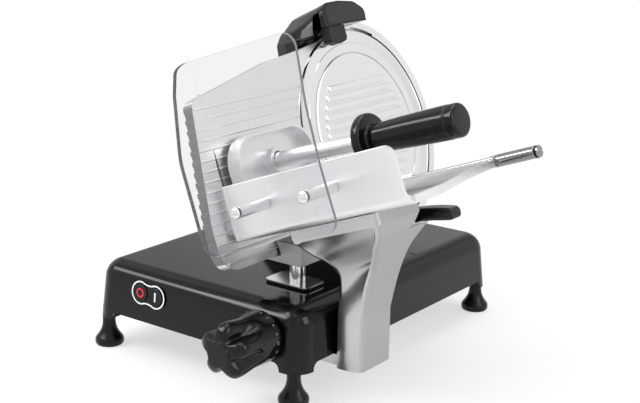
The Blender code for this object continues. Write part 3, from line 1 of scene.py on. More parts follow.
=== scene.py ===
"""Looks of the electric food slicer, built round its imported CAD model.

Shapes are modelled in the machine's own axes (x towards the tray, y towards the back, z up, origin under the
middle of the base). Pieces in the blade's plane use leaning axes: x in front of the plane, z up along it.
"""

from math import asin, atan2, cos, pi, radians, sin, sqrt, tan

import bmesh
import bpy
from mathutils import Matrix, Vector

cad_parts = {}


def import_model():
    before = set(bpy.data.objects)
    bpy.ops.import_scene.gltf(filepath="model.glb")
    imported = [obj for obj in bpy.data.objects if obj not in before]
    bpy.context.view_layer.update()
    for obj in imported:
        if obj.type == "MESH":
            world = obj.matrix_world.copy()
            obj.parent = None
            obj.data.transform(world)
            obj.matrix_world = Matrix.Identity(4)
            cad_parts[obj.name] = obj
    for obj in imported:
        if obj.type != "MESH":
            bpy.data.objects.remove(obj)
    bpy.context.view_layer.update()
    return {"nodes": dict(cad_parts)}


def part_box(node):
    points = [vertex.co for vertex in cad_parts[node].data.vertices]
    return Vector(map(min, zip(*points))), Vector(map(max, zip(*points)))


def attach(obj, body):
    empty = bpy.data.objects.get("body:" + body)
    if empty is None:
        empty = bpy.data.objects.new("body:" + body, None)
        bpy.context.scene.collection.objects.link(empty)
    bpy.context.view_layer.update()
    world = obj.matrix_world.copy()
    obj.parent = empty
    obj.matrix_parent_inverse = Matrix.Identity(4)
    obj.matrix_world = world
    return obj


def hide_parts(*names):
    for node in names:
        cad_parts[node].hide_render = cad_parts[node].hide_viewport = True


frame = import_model()

# Sizes, as in the CAD model
CLEAR = 0.0003
TILT = radians(20.5)
BLADE_X = 0.0387
BLADE_Y = 0.0856
BLADE_Z = 0.244
BLADE_RADIUS = 0.125
BLADE_RECESS = 0.0035
COVER_RADIUS = 0.0975
COVER_PROUD = 0.0025
SUPPORT_FRONT = 0.014
SUPPORT_BACK = 0.022
GUARD_INNER = 0.1275
SUPPORT_SMALL = 0.112
GUARD_START = radians(-112)
GUARD_END = radians(88)
TUBE_RADIUS = 0.03
TUBE_LENGTH = 0.0285
GUARD_OUTER = 0.1385
HOOD_FRONT = 0.02
HOOD_DEPTH = 0.065
HOOD_TOP = 0.1605
HOOD_SLOT = 0.1315
HOUSING_RADIUS = 0.066
HOUSING_TOP_DEPTH = 0.086
HOUSING_LOW_DEPTH = 0.158
BASE_HALF_X = 0.156
BASE_HALF_Y = 0.203
BASE_TAPER_X = 0.005
BASE_TAPER_Y = 0.006
BASE_TOP = 0.106
BASE_LOW = 0.0355
BASE_SKIRT = 0.045
BASE_WALL = 0.0035
BASE_CORNER = 0.024
BASE_EDGE = 0.02
FOOT_X = 0.1405
FOOT_Y = 0.193
SWITCH_STOP = (-0.079, 0.0444)
SWITCH_START = (-0.0555, 0.0436)
SWITCH_LOBE = 0.0145
BUTTON_RADIUS = 0.0108
GAUGE_DEPTH = 0.015
GAUGE_EDGE = 0.1275
GAUGE_FRONT = -0.316
GAUGE_LOW = -0.108
RIB_PITCH = 0.0113
POST_X = 0.088
POST_Y = -0.12
POST_TOP = 0.152
POST_HOLE = 0.0093
GAUGE_FACE = -0.0015
GAUGE_WALL = 0.0035
GLAND_X = -0.095
GLAND_Z = 0.072
KNOB_X = 0.1025
KNOB_Z = 0.072
KNOB_FACE_Y = -0.275
KNOB_GAP = 0.003
KNOB_STEP = 0.0022
KNOB_DOME = 0.0125
KNOB_HUB = 0.015
KNOB_LOBE = 0.0313
KNOB_BACK = 0.029
WALL_Y = -0.206
WALL_THICK = 0.004
TRAY_LEFT = 0.0045
WALL_RIGHT = 0.2345
WALL_TOP = -0.0175
FLOOR_TOP = -0.0715
FLOOR_THICK = 0.0085
TRAY_BACK = 0.057
TRAY_RIGHT = 0.262
UNDER = FLOOR_TOP - FLOOR_THICK - CLEAR
COLUMN_IN = 0.159
COLUMN_OUT = 0.1915
COLUMN_FRONT = -0.143
COLUMN_BACK = -0.087
LEVER_A = 0.135
LEVER_Y = -0.093
LEVER_BORE = 0.0038
GUARD_Y = -0.2565
GUARD_THICK = 0.0035
GUARD_LEFT = 0.054
GUARD_RIGHT = 0.184
GUARD_LOW = -0.0855
GUARD_TOP = 0.1166
GUARD_FLANGE = 0.0365
STANDOFF_C = -0.0454
STANDOFFS = {"left": 0.0615, "right": 0.1534}
STANDOFF_RADIUS = 0.00625
ROD_Y = 0.0695
ROD_C = -0.0745
ROD_RADIUS = 0.006
ROD_END = 0.235
PUSHER_Y = -0.12
PUSHER_C = -0.005
PUSHER_HALF = 0.066
PUSHER_TOP = 0.03
PUSHER_DEPTH = 0.0175


def shift(x, y, z):
    return Matrix.Translation((x, y, z))


# The machine's origin lies under the middle of the base's box
low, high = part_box("base_housing")
ORIGIN = Vector(((low.x + high.x) / 2, (low.y + high.y) / 2, 0))
ROOT = Matrix.Translation(ORIGIN)
LEAN = Matrix.Rotation(-TILT, 4, "Y")
CUT = ROOT @ shift(BLADE_X, BLADE_Y, BLADE_Z) @ LEAN
TABLE = ROOT @ shift(BLADE_X, 0, BLADE_Z) @ LEAN
WALL_LEAN = -atan2(BASE_TAPER_Y, BASE_TOP - BASE_LOW)
WALL = ROOT @ shift(0, -BASE_HALF_Y, BASE_LOW) @ Matrix.Rotation(WALL_LEAN, 4, "X")


# Materials

class Nodes:
    """A node tree and short ways to add nodes to it."""

    def __init__(self, tree):
        self.tree = tree

    def feed(self, socket, value):
        """Give an input a constant value or another node's output."""
        if isinstance(value, bpy.types.NodeSocket):
            self.tree.links.new(value, socket)
        else:
            socket.default_value = value

    def node(self, kind, inputs=(), **settings):
        made = self.tree.nodes.new("ShaderNode" + kind)
        for name, value in settings.items():
            setattr(made, name, value)
        for socket, value in dict(inputs).items():
            self.feed(made.inputs[socket], value)
        return made

    def ramp(self, value, low, high, start=0.0, end=1.0, **settings):
        inputs = {"Value": value, "From Min": low, "From Max": high, "To Min": start, "To Max": end}
        return self.node("MapRange", inputs, **settings).outputs["Result"]


class Look(Nodes):
    """A Principled material and short ways to vary it."""

    def __init__(self, name, colour, roughness, metallic=0.0, **sockets):
        self.material = bpy.data.materials.new(name)
        self.material.use_nodes = True
        super().__init__(self.material.node_tree)
        self.shader = self.tree.nodes["Principled BSDF"]
        self.set("Base Color", (*colour, 1.0))
        self.set("Roughness", roughness)
        self.set("Metallic", metallic)
        for socket, value in sockets.items():
            self.set(socket.replace("_", " "), value)
        self.place = self.node("TexCoord").outputs["Object"]

    def set(self, socket, value):
        self.feed(self.shader.inputs[socket], value)

    def mapped(self, scale):
        return self.node("Mapping", {"Vector": self.place, "Scale": scale}).outputs[0]

    def noise(self, scale, detail=3.0, roughness=0.5, vector=None):
        inputs = {"Vector": vector or self.place, "Scale": scale, "Detail": detail, "Roughness": roughness}
        return self.node("TexNoise", inputs).outputs["Fac"]

    def vary_roughness(self, value, start, end, low=0.35, high=0.65):
        self.set("Roughness", self.ramp(value, low, high, start, end))

    def vary_colour(self, value, first, second, low=0.35, high=0.65):
        inputs = {0: self.ramp(value, low, high), 6: (*first, 1.0), 7: (*second, 1.0)}
        self.set("Base Color", self.node("Mix", inputs, data_type="RGBA").outputs[2])

    def bump(self, value, strength, distance):
        inputs = {"Height": value, "Strength": strength, "Distance": distance}
        self.set("Normal", self.node("Bump", inputs).outputs[0])


def surface(name, colour, roughness, metallic=0.0, wear=None, grain=None, **sockets):
    """A plain material: wear ends in its least and most roughness, grain in its strength and height."""
    look = Look(name, colour, roughness, metallic, **sockets)
    if wear:
        *pattern, least, most = wear
        look.vary_roughness(look.noise(*pattern), least, most)
    if grain:
        *pattern, strength, height = grain
        look.bump(look.noise(*pattern), strength, height)
    return look


def metal(level, step=0.0, last=0.01):
    """A metal's colour, a little bluer than grey."""
    return (level, level + step, level + last)


def moulded_black(name="moulded_black", roughness=0.22, colour=(0.003, 0.003, 0.0033)):
    wear = (30.0, 5.0, 0.6, roughness - 0.05, roughness + 0.06)
    return surface(name, colour, roughness, 0.0, wear, (900.0, 3.0, 0.06, 0.0002), Specular_IOR_Level=0.3)


def polished_casting(name="polished_casting", bright=0.72, roughness=0.2):
    """Polished aluminium with fine drag marks and a slightly duller grain."""
    look = Look(name, metal(bright, 0.01, 0.02), roughness, 1.0)
    look.vary_roughness(look.noise(14.0, 6.0, 0.6), roughness - 0.03, roughness + 0.08)
    look.vary_colour(look.noise(7.0, 5.0), metal(bright - 0.06, 0.01, 0.02), metal(bright + 0.02, 0.005, 0.01))
    look.bump(look.noise(260.0, 3.0, 0.6, look.mapped((1, 1, 0.05))), 0.04, 0.00005)
    return look


def satin_aluminium(name="satin_aluminium", along=(0.04, 1, 1), roughness=0.34, bright=0.79):
    """Anodised aluminium with a fine brushing along one axis."""
    look = Look(name, metal(bright, 0.005), roughness, 1.0)
    grain = look.noise(900.0, 3.0, 0.55, look.mapped(along))
    look.vary_roughness(grain, roughness - 0.05, roughness + 0.06, 0.3, 0.7)
    look.vary_colour(look.noise(11.0, 4.0), metal(bright - 0.025, 0.005), metal(bright + 0.025, 0.0, 0.005))
    look.bump(grain, 0.05, 0.00006)
    return look


def turned_steel(name="turned_steel", roughness=0.16, bright=0.86):
    """Ground and polished steel whose marks run round the turning axis x."""
    look = Look(name, metal(bright), roughness, 1.0)
    radius = look.node("VectorMath", {0: look.mapped((0, 1, 1))}, operation="LENGTH").outputs["Value"]
    inputs = {"W": radius, "Scale": 1600.0, "Detail": 4.0}
    rings = look.node("TexNoise", inputs, noise_dimensions="1D").outputs["Fac"]
    look.vary_roughness(rings, roughness - 0.04, roughness + 0.07, 0.3, 0.7)
    look.bump(rings, 0.05, 0.00005)
    return look


def plain_steel(name="polished_steel", bright=0.8):
    return surface(name, metal(bright), 0.14, 1.0, (40.0, 5.0, 0.12, 0.2), (300.0, 2.0, 0.01, 0.00004))


def clear_sheet():
    """Clear acrylic with a light grey tint and faint wiping marks in its gloss."""
    look = Look("clear_acrylic", (0.885, 0.892, 0.9), 0.0, IOR=1.3, Transmission_Weight=1.0)
    look.vary_roughness(look.noise(35.0, 6.0, 0.7), 0.0, 0.012, 0.4, 0.8)
    return look


def stone():
    look = surface("abrasive_stone", (0.52, 0.45, 0.4), 0.95, grain=(1600.0, 4.0, 0.6, 0.0003))
    look.vary_colour(look.noise(1400.0, 4.0), (0.36, 0.31, 0.28), (0.7, 0.62, 0.56))
    return look


def print_ink(name, *colour):
    return surface(name, colour, 0.45, grain=(1500.0, 2.0, 0.05, 0.0001))


# Black stove enamel with a faint orange peel and a little dust in its gloss
PAINT = surface(
    "gloss_black_paint", (0.0035, 0.0035, 0.004), 0.1, 0.0, (9.0, 6.0, 0.65, 0.07, 0.14),
    (160.0, 2.0, 0.02, 0.0003), Specular_IOR_Level=0.28,
)
PLASTIC = moulded_black(roughness=0.14)
SOFT_PLASTIC = moulded_black("satin_black", 0.33)
RUBBER = surface(
    "foot_rubber", (0.004, 0.004, 0.0045), 0.24, 0.0, (60.0, 5.0, 0.18, 0.34), (700.0, 4.0, 0.1, 0.0002),
    Specular_IOR_Level=0.25,
)
CASTING = polished_casting(bright=0.8)
COLUMN_POLISH = polished_casting("column_polish", 0.52, 0.19)
COLUMN_SATIN = polished_casting("column_satin", 0.43, 0.42)
CLAMP_LOOK = polished_casting("clamp_casting", 0.3, 0.3)
SATIN = satin_aluminium()
TRAY_SATIN = satin_aluminium("tray_aluminium", (1, 1, 0.04), 0.36, 0.86)
# The tray floor's upward faces and ribs: the tray's own aluminium painted darker, as painted shade for the dim
# reflection the floor shows
SHADED_FLOOR_SATIN = satin_aluminium("tray_floor_painted_shade", (0.04, 1, 1), 0.36, 0.56)
# The gauge plate's front rim: the plate's own satin aluminium painted dark, as painted shade
SHADED_EDGE_SATIN = satin_aluminium("gauge_edge_painted_shade", (1, 1, 0.04), 0.4, 0.22)
BLADE_STEEL = turned_steel(bright=0.78)
COVER_LOOK = turned_steel("cover_aluminium", 0.34, 0.8)
STEEL = plain_steel()
# The rail rod: polished steel painted dark, as painted shade and dim reflection where it runs under the tray
SHADED_RAIL_STEEL = plain_steel("rail_steel_painted_shade", 0.3)
DARK = surface(
    "dark_machined_metal", (0.1, 0.1, 0.11), 0.45, 0.8, (50.0, 5.0, 0.35, 0.55), (500.0, 4.0, 0.2, 0.0003),
)
CLEAR_LOOK = clear_sheet()
# The clear sheet's cut and flame-polished edge, painted an opaque grey: painted reflection and shade for the lines of
# light and dark that the edge shows
PAINTED_SHEET_EDGE = surface(
    "acrylic_edge_painted_light", (0.2, 0.2, 0.22), 0.15, 0.0, (90.0, 4.0, 0.1, 0.24), Specular_IOR_Level=0.3,
)
BRASS = surface("turned_brass", (0.8, 0.62, 0.3), 0.25, 1.0, (300.0, 3.0, 0.18, 0.34))
STONE = stone()
WHITE_INK = print_ink("white_print", 0.92, 0.92, 0.92)
GREY_INK = print_ink("grey_print", 0.3, 0.3, 0.3)
RED_INK = print_ink("red_print", 0.72, 0.015, 0.03)
GREY_PLASTIC = moulded_black("grey_plastic", 0.42, (0.012, 0.012, 0.013))
PANEL_PLASTIC = moulded_black("matt_panel", 0.55, (0.026, 0.026, 0.028))
CASE_PLASTIC = moulded_black("case_plastic", 0.45, (0.42, 0.44, 0.42))


# Shapes

def placed(shape, matrix):
    bmesh.ops.transform(shape, matrix=matrix, verts=shape.verts)
    return shape


def block(low, high):
    shape = bmesh.new()
    bmesh.ops.create_cube(shape, size=1.0)
    bmesh.ops.scale(shape, verts=shape.verts, vec=[b - a for a, b in zip(low, high)])
    bmesh.ops.translate(shape, verts=shape.verts, vec=[(a + b) / 2 for a, b in zip(low, high)])
    return shape


def rod(start, end, radius, end_radius=None, segments=48):
    start = Vector(start)
    end = Vector(end)
    shape = bmesh.new()
    far = radius if end_radius is None else end_radius
    bmesh.ops.create_cone(
        shape, cap_ends=True, segments=segments, radius1=radius, radius2=far, depth=(end - start).length
    )
    turn = Vector((0, 0, 1)).rotation_difference(end - start).to_matrix().to_4x4()
    return placed(shape, Matrix.Translation((start + end) / 2) @ turn)


def spindle(start, end, radius, y=0, z=0, segments=48):
    """A rod along x."""
    return rod((start, y, z), (end, y, z), radius, None, segments)


def together(*shapes):
    whole = bmesh.new()
    for shape in shapes:
        mesh = bpy.data.meshes.new("together")
        shape.to_mesh(mesh)
        shape.free()
        whole.from_mesh(mesh)
        bpy.data.meshes.remove(mesh)
    return whole


def linked(name, data):
    """A new object in the scene."""
    item = bpy.data.objects.new(name, data)
    bpy.context.scene.collection.objects.link(item)
    return item


def evaluated(item):
    """An object's mesh with its modifiers or its curve's thickness taken up."""
    return bpy.data.meshes.new_from_object(item.evaluated_get(bpy.context.evaluated_depsgraph_get()))


def baked(item):
    """The evaluated mesh of an object, which it uses up, as a clean shape."""
    mesh = evaluated(item)
    shape = bmesh.new()
    shape.from_mesh(mesh)
    bmesh.ops.remove_doubles(shape, verts=shape.verts, dist=0.000001)
    bmesh.ops.recalc_face_normals(shape, faces=shape.faces)
    bpy.data.objects.remove(item)
    bpy.data.meshes.remove(mesh)
    return shape


ALONG = {
    "x": Matrix(((0, 0, 1, 0), (1, 0, 0, 0), (0, 1, 0, 0), (0, 0, 0, 1))),
    "y": Matrix(((1, 0, 0, 0), (0, 0, -1, 0), (0, 1, 0, 0), (0, 0, 0, 1))),
    "z": Matrix.Identity(4),
}


def plate(outline, axis, low, high, holes=()):
    """A flat outline with a thickness: (y, z) points for x, (x, z) for y and (x, y) for z."""
    curve = bpy.data.curves.new("outline", "CURVE")
    curve.dimensions = "2D"
    curve.fill_mode = "BOTH"
    curve.extrude = (high - low) / 2
    for points in (outline, *holes):
        spline = curve.splines.new("POLY")
        spline.points.add(len(points) - 1)
        for point, (u, v) in zip(spline.points, points):
            point.co = (u, v, 0, 1)
        spline.use_cyclic_u = True
    shape = baked(linked("outline", curve))
    middle = (low + high) / 2
    return placed(shape, ALONG[axis] @ shift(0, 0, -middle if axis == "y" else middle))


def revolved(profile, segments=64, loop=False, axis="x", centre=(0, 0, 0)):
    """A turned shape from (radius, height), top to bottom on the outer side; height runs along +x, -y or +z."""
    mesh = bpy.data.meshes.new("profile")
    count = len(profile)
    edges = [(i, i + 1) for i in range(count - 1)]
    if loop:
        edges.append((count - 1, 0))
    mesh.from_pydata([(r, 0, h) for r, h in profile], edges, [])
    item = linked("profile", mesh)
    screw = item.modifiers.new("turn", "SCREW")
    screw.steps = segments
    screw.render_steps = segments
    screw.use_merge_vertices = True
    screw.merge_threshold = 0.00001
    shape = baked(item)
    turn = {"x": Matrix.Rotation(pi / 2, 4, "Y"), "y": Matrix.Rotation(pi / 2, 4, "X"), "z": Matrix.Identity(4)}[axis]
    return placed(shape, Matrix.Translation(centre) @ turn)


def arc(u, v, radius, start, end, steps):
    turn = (end - start) / steps
    return [(u + radius * cos(start + i * turn), v + radius * sin(start + i * turn)) for i in range(steps + 1)]


def circle(u, v, radius, steps=64):
    return arc(u, v, radius, 0, 2 * pi * (steps - 1) / steps, steps - 1)


def rounded(corners, steps=10):
    """A closed outline whose corners (u, v, radius) are arcs."""
    points = []
    count = len(corners)
    for i, (u, v, radius) in enumerate(corners):
        corner = Vector((u, v))
        back = Vector(corners[i - 1][:2]) - corner
        ahead = Vector(corners[(i + 1) % count][:2]) - corner
        half = back.angle(ahead) / 2
        reach = min(radius / tan(half), 0.49 * back.length, 0.49 * ahead.length)
        if reach < 0.00005:
            points.append((u, v))
            continue
        size = reach * tan(half)
        centre = corner + (back.normalized() + ahead.normalized()).normalized() * (size / sin(half))
        first = corner + back.normalized() * reach - centre
        last = corner + ahead.normalized() * reach - centre
        start = atan2(first.y, first.x)
        sweep = (atan2(last.y, last.x) - start + pi) % (2 * pi) - pi
        points += arc(centre.x, centre.y, size, start, start + sweep, steps)
    return points


def oblong(u0, v0, u1, v1, radius, steps=8):
    return rounded([(u0, v0, radius), (u1, v0, radius), (u1, v1, radius), (u0, v1, radius)], steps)


def loft(sections):
    """A skin through rings of points, with a cap at each end."""
    shape = bmesh.new()
    rings = [[shape.verts.new(point) for point in section] for section in sections]
    count = len(rings[0])
    for low, high in zip(rings, rings[1:]):
        for i in range(count):
            k = (i + 1) % count
            shape.faces.new((low[i], low[k], high[k], high[i]))
    shape.faces.new(list(reversed(rings[0])))
    shape.faces.new(rings[-1])
    bmesh.ops.recalc_face_normals(shape, faces=shape.faces)
    return shape


def added(name, shape, place):
    """An object in the scene from a shape, which it uses up."""
    bmesh.ops.recalc_face_normals(shape, faces=shape.faces)
    mesh = bpy.data.meshes.new(name)
    shape.to_mesh(mesh)
    shape.free()
    item = linked(name, mesh)
    item.matrix_world = place
    return item


def settle(item):
    """Take up an object's modifiers in its mesh."""
    bpy.context.view_layer.update()
    mesh = evaluated(item)
    item.modifiers.clear()
    item.data = mesh
    return mesh


def cut(shape, place=None):
    return "DIFFERENCE", shape, place


def add(shape, place=None):
    return "UNION", shape, place


def keep(shape, place=None):
    return "INTERSECT", shape, place


def piece(name, shape, look, place, body, node=None, slot=None, *steps, edge=0.0, angle=35, segments=2):
    """A finished piece: its shape, Boolean steps, eased edges and material, riding on a body in place of a CAD node."""
    item = added(name, shape, place)
    helpers = []
    for i, (operation, other, own) in enumerate(steps):
        helpers.append(added(f"{name}_step{i}", other, own or place))
        modifier = item.modifiers.new(f"step{i}", "BOOLEAN")
        modifier.operation = operation
        modifier.solver = "EXACT"
        modifier.object = helpers[-1]
    if edge:
        bevel = item.modifiers.new("edge", "BEVEL")
        bevel.width = edge
        bevel.segments = segments
        bevel.limit_method = "ANGLE"
        bevel.angle_limit = radians(angle)
    mesh = settle(item)
    for helper in helpers:
        bpy.data.objects.remove(helper)
    for polygon in mesh.polygons:
        polygon.use_smooth = True
    mesh.set_sharp_from_angle(angle=radians(angle))
    item.modifiers.new("even", "WEIGHTED_NORMAL").keep_sharp = True
    mesh = settle(item)
    mesh.name = name
    mesh.materials.clear()
    mesh.materials.append(look.material)
    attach(item, body)
    if node:
        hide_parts(node)
    return item


def second_look(item, look, chosen):
    """Another material for the faces that the test chooses by their normal in the piece's own axes."""
    item.data.materials.append(look.material)
    for polygon in item.data.polygons:
        if chosen(polygon.normal):
            polygon.material_index = 1


def dress(names, look):
    """Give CAD nodes that keep their shape a finished material."""
    for name in names:
        node = frame["nodes"][name]
        node.data.materials.clear()
        node.data.materials.append(look.material)


# Base

def base_outline(inset, z):
    share = (z - BASE_LOW) / (BASE_TOP - BASE_LOW)
    half_x = BASE_HALF_X - BASE_TAPER_X * share - inset
    half_y = BASE_HALF_Y - BASE_TAPER_Y * share - inset
    return oblong(half_x, half_y, -half_x, -half_y, BASE_CORNER - inset, 14)


def base_skin(inset, low):
    top = BASE_TOP - inset
    edge = BASE_EDGE - inset
    levels = [(low, 0.0)]
    for i in range(13):
        turn = i * (pi / 2) / 12
        levels.append((top - edge + edge * sin(turn), edge * (1 - cos(turn))))
    return loft([[(x, y, z) for x, y in base_outline(inset + drawn, z)] for z, drawn in levels])


def wall_depth(z):
    """How far the base's front and back walls stand from its middle at a height."""
    return BASE_HALF_Y - BASE_TAPER_Y * (z - BASE_LOW) / (BASE_TOP - BASE_LOW)


def peanut(grow):
    r = SWITCH_LOBE + grow
    x0, z0 = SWITCH_STOP
    x1, z1 = SWITCH_START
    left = arc(x0, z0, r, radians(62), radians(298), 40)
    right = arc(x1, z1, r, radians(242), radians(478), 40)
    middle = (x0 + x1) / 2
    height = (z0 + z1) / 2
    corner = 0.0042
    low = rounded([left[-1] + (0,), (middle, height - 0.0123 - grow, corner), right[0] + (0,)], 8)
    high = rounded([right[-1] + (0,), (middle, height + 0.0123 + grow, corner), left[0] + (0,)], 8)
    return left + low[1:-1] + right + high[1:-1]


def base():
    reach_x = FOOT_X - 0.011
    reach_y = FOOT_Y - 0.013
    edge_x = BASE_HALF_X - 0.001
    edge_y = BASE_HALF_Y - 0.001
    r = BASE_CORNER - 0.001
    start = asin((reach_y - edge_y + r) / r)
    pads = []
    for i in (-1, 1):
        for k in (-1, 1):
            corner = [(reach_x, reach_y), (reach_x, edge_y)] + arc(edge_x - r, edge_y - r, r, pi / 2, start, 14)
            pads.append(plate([(i * x, k * y) for x, y in corner], "z", BASE_LOW, BASE_LOW + 0.0115))
    drop = BASE_SKIRT - BASE_LOW
    low = BASE_LOW - 0.01

    def notch(reach):
        return rounded(
            [(-reach, low, 0), (reach, low, 0), (reach - drop * 0.4, BASE_SKIRT, 0.009),
             (-reach + drop * 0.4, BASE_SKIRT, 0.009)], 10,
        )

    half = 0.0098
    slot = oblong(0.0588, POST_Y - half, 0.0978, POST_Y + half, half, 10)
    well = oblong(-0.082, 0.034, 0.022, 0.137, 0.01, 6)
    wall = BASE_HALF_Y + 0.01
    piece(
        "base_shell", base_skin(0.0, BASE_LOW), PAINT, ROOT, "frame", "base_housing", "black_paint",
        cut(base_skin(BASE_WALL, BASE_LOW - 0.01)),
        add(together(*pads)),
        cut(plate(notch(reach_x), "y", -0.3, 0.3)),
        cut(plate(notch(reach_y), "x", -0.3, 0.3)),
        cut(together(plate(slot, "z", 0.09, 0.12), plate(well, "z", 0.09, 0.12))),
        cut(together(
            rod((KNOB_X, -wall, KNOB_Z), (KNOB_X, -wall + 0.03, KNOB_Z), 0.0085),
            rod((GLAND_X, wall, GLAND_Z), (GLAND_X, wall - 0.03, GLAND_Z), 0.0083),
        )),
        cut(plate(peanut(-0.0025), "y", -0.012, 0.012), WALL),
        edge=0.0006,
    )


def feet():
    profile = [
        (0, 0.0352), (0.0078, 0.0352), (0.0078, 0.029), (0.0081, 0.0255), (0.0088, 0.022), (0.01, 0.0185),
        (0.0117, 0.0153), (0.0137, 0.0123), (0.0156, 0.01), (0.0168, 0.008), (0.0172, 0.006), (0.0172, 0.0036),
        (0.0168, 0.0018), (0.0158, 0.0005), (0.015, 0.0), (0, 0.0),
    ]
    for end, y in (("front", -FOOT_Y), ("back", FOOT_Y)):
        for side, x in (("left", -FOOT_X), ("right", FOOT_X)):
            piece(
                f"foot_{end}_{side}_look", revolved(profile, axis="z"), RUBBER, ROOT @ shift(x, y, 0), "frame",
                f"foot_{end}_{side}", "black_rubber",
            )


def switch():
    holes = (circle(*SWITCH_STOP, BUTTON_RADIUS + 0.0004), circle(*SWITCH_START, BUTTON_RADIUS + 0.0004))
    bezel = plate(peanut(-0.0003), "y", -0.0021, -CLEAR, holes=holes)
    piece("switch_bezel", bezel, PLASTIC, WALL, "frame", "switch_panel", "black_plastic", edge=0.0004)
    line = plate(peanut(-0.0005), "y", -0.00216, -0.0018, holes=(peanut(-0.0022),))
    piece("switch_outline", line, WHITE_INK, WALL, "frame")
    x, z = SWITCH_STOP
    light = rod((x, -0.0036, z + 0.0048), (x, -0.0027, z + 0.0048), 0.0013, 0.0012, 24)
    piece("stop_lamp", light, RED_INK, WALL, "stop", edge=0.0003)
    r = BUTTON_RADIUS
    for body, (x, z) in (("stop", SWITCH_STOP), ("start", SWITCH_START)):
        profile = [
            (0, 0.0029), (r * 0.5, 0.0029), (r * 0.8, 0.0031), (r - 0.0008, 0.0034), (r - 0.0002, 0.0031), (r, 0.0026),
            (r, -0.011), (0, -0.011),
        ]
        piece(
            f"{body}_button_look", revolved(profile, axis="y", centre=(x, 0, z)), SOFT_PLASTIC, WALL, body,
            f"{body}_button", "black_plastic",
        )
    ring = plate(circle(*SWITCH_STOP, 0.0057), "y", -0.00315, -0.0027, holes=(circle(*SWITCH_STOP, 0.0037),))
    piece("stop_mark", ring, RED_INK, WALL, "stop")
    x, z = SWITCH_START
    bar = block((x - 0.001, -0.00315, z - 0.0055), (x + 0.001, -0.0027, z + 0.0055))
    piece("start_mark", bar, WHITE_INK, WALL, "start")


def back_fittings():
    wall_y = wall_depth(GLAND_Z)
    profile = [
        (0.0045, -0.012), (0.008, -0.012), (0.008, 0.0012), (0.0115, 0.0012), (0.0115, 0.008), (0.011, 0.0088),
        (0.0095, 0.01), (0.0075, 0.0153), (0.0068, 0.016), (0.0045, 0.016),
    ]
    flipped = [(r, -(wall_y + h)) for r, h in profile]
    flutes = []
    for x, z in circle(GLAND_X, GLAND_Z, 0.0122, 16):
        flutes.append(rod((x, wall_y + 0.0025, z), (x, wall_y + 0.02, z), 0.001, None, 10))
    piece(
        "cord_gland", revolved(flipped, loop=True, axis="y", centre=(GLAND_X, 0, GLAND_Z)), SOFT_PLASTIC, ROOT, "frame",
        "cord_inlet", "black_plastic",
        cut(together(*flutes)),
    )


# Blade and its casting

def support():
    outline = arc(0, 0, GUARD_OUTER - 0.0003, GUARD_START, GUARD_END, 120)
    outline += arc(0, 0, SUPPORT_SMALL, GUARD_END, GUARD_START + 2 * pi, 60)
    tube_end = -SUPPORT_BACK - TUBE_LENGTH
    foot = [(-0.055, -0.1), (0.055, -0.1), (0.052, -0.165), (-0.052, -0.165)]
    span = (radians(62), radians(82))
    piece(
        "blade_casting", plate(outline, "x", -SUPPORT_BACK, -CLEAR), CASTING, CUT, "frame", "blade_support",
        "cast_aluminium",
        cut(spindle(-SUPPORT_FRONT, 0.02, GUARD_INNER, segments=180)),
        add(plate(foot, "x", -0.048, -SUPPORT_FRONT - 0.0005)),
        add(spindle(tube_end, -SUPPORT_FRONT - 0.002, TUBE_RADIUS)),
        cut(block((-0.2, -0.3, 0.0), (0.3, 0.4, BASE_TOP + CLEAR)), ROOT),
        cut(spindle(tube_end - 0.01, 0.01, 0.0175)),
        cut(plate(arc(0, 0, 0.1255, *span, 16) + arc(0, 0, 0.1298, *reversed(span), 16), "x", -0.011, 0.01)),
        edge=0.0007,
    )


def blade():
    r = BLADE_RADIUS
    bevel = r - 0.015
    seat = COVER_RADIUS + 0.001
    profile = [
        (0.0045, -BLADE_RECESS), (seat, -BLADE_RECESS), (seat, -0.0016), (seat + 0.0004, -0.0012),
        (bevel - 0.0003, -0.0012), (bevel + 0.0002, -0.0015), (bevel + 0.0011, -0.0014), (r - 0.0018, -0.0005),
        (r - 0.0012, -0.0002), (r, -0.0002), (r, -0.0006), (r - 0.02, -0.0045), (0.06, -0.005), (0.045, -0.011),
        (0.0045, -0.011),
    ]
    piece(
        "blade_disc", revolved(profile, 256, True), BLADE_STEEL, CUT, "blade_rotor", "blade", "polished_steel", angle=9,
    )


def pill(left, right, c, half, low, high):
    """A low rib with rounded ends and a soft crest."""
    rings = []
    rise = high - low
    for inset, share in ((0.0, 0.0), (0.1, 0.16), (0.22, 0.44), (0.36, 0.72), (0.52, 0.9), (0.72, 0.98), (0.95, 1.0)):
        r = half * (1 - inset)
        outline = arc(left + half, c, r, pi / 2, 3 * pi / 2, 12) + arc(right - half, c, r, -pi / 2, pi / 2, 12)
        rings.append([(low + rise * share, y, z) for y, z in outline])
    return loft(rings)


def cover():
    r = COVER_RADIUS
    face = COVER_PROUD - 0.0024
    profile = [
        (0, face), (r - 0.006, face), (r - 0.003, face - 0.0002), (r - 0.0012, face - 0.0006),
        (r - 0.0003, face - 0.0012), (r, face - 0.0018), (r, -BLADE_RECESS + CLEAR), (0.005, -BLADE_RECESS + CLEAR),
        (0.005, -0.0015), (0, -0.0015),
    ]
    shapes = [revolved(profile, 200)]
    for i in range(13):
        c = 0.058 - i * RIB_PITCH
        half = sqrt((r - 0.014) ** 2 - c * c)
        shapes.append(pill(-half, half, c, 0.005, face - 0.0003, COVER_PROUD))
    piece("cover_disc", together(*shapes), COVER_LOOK, CUT, "frame", "blade_cover", "anodised_aluminium", angle=50)


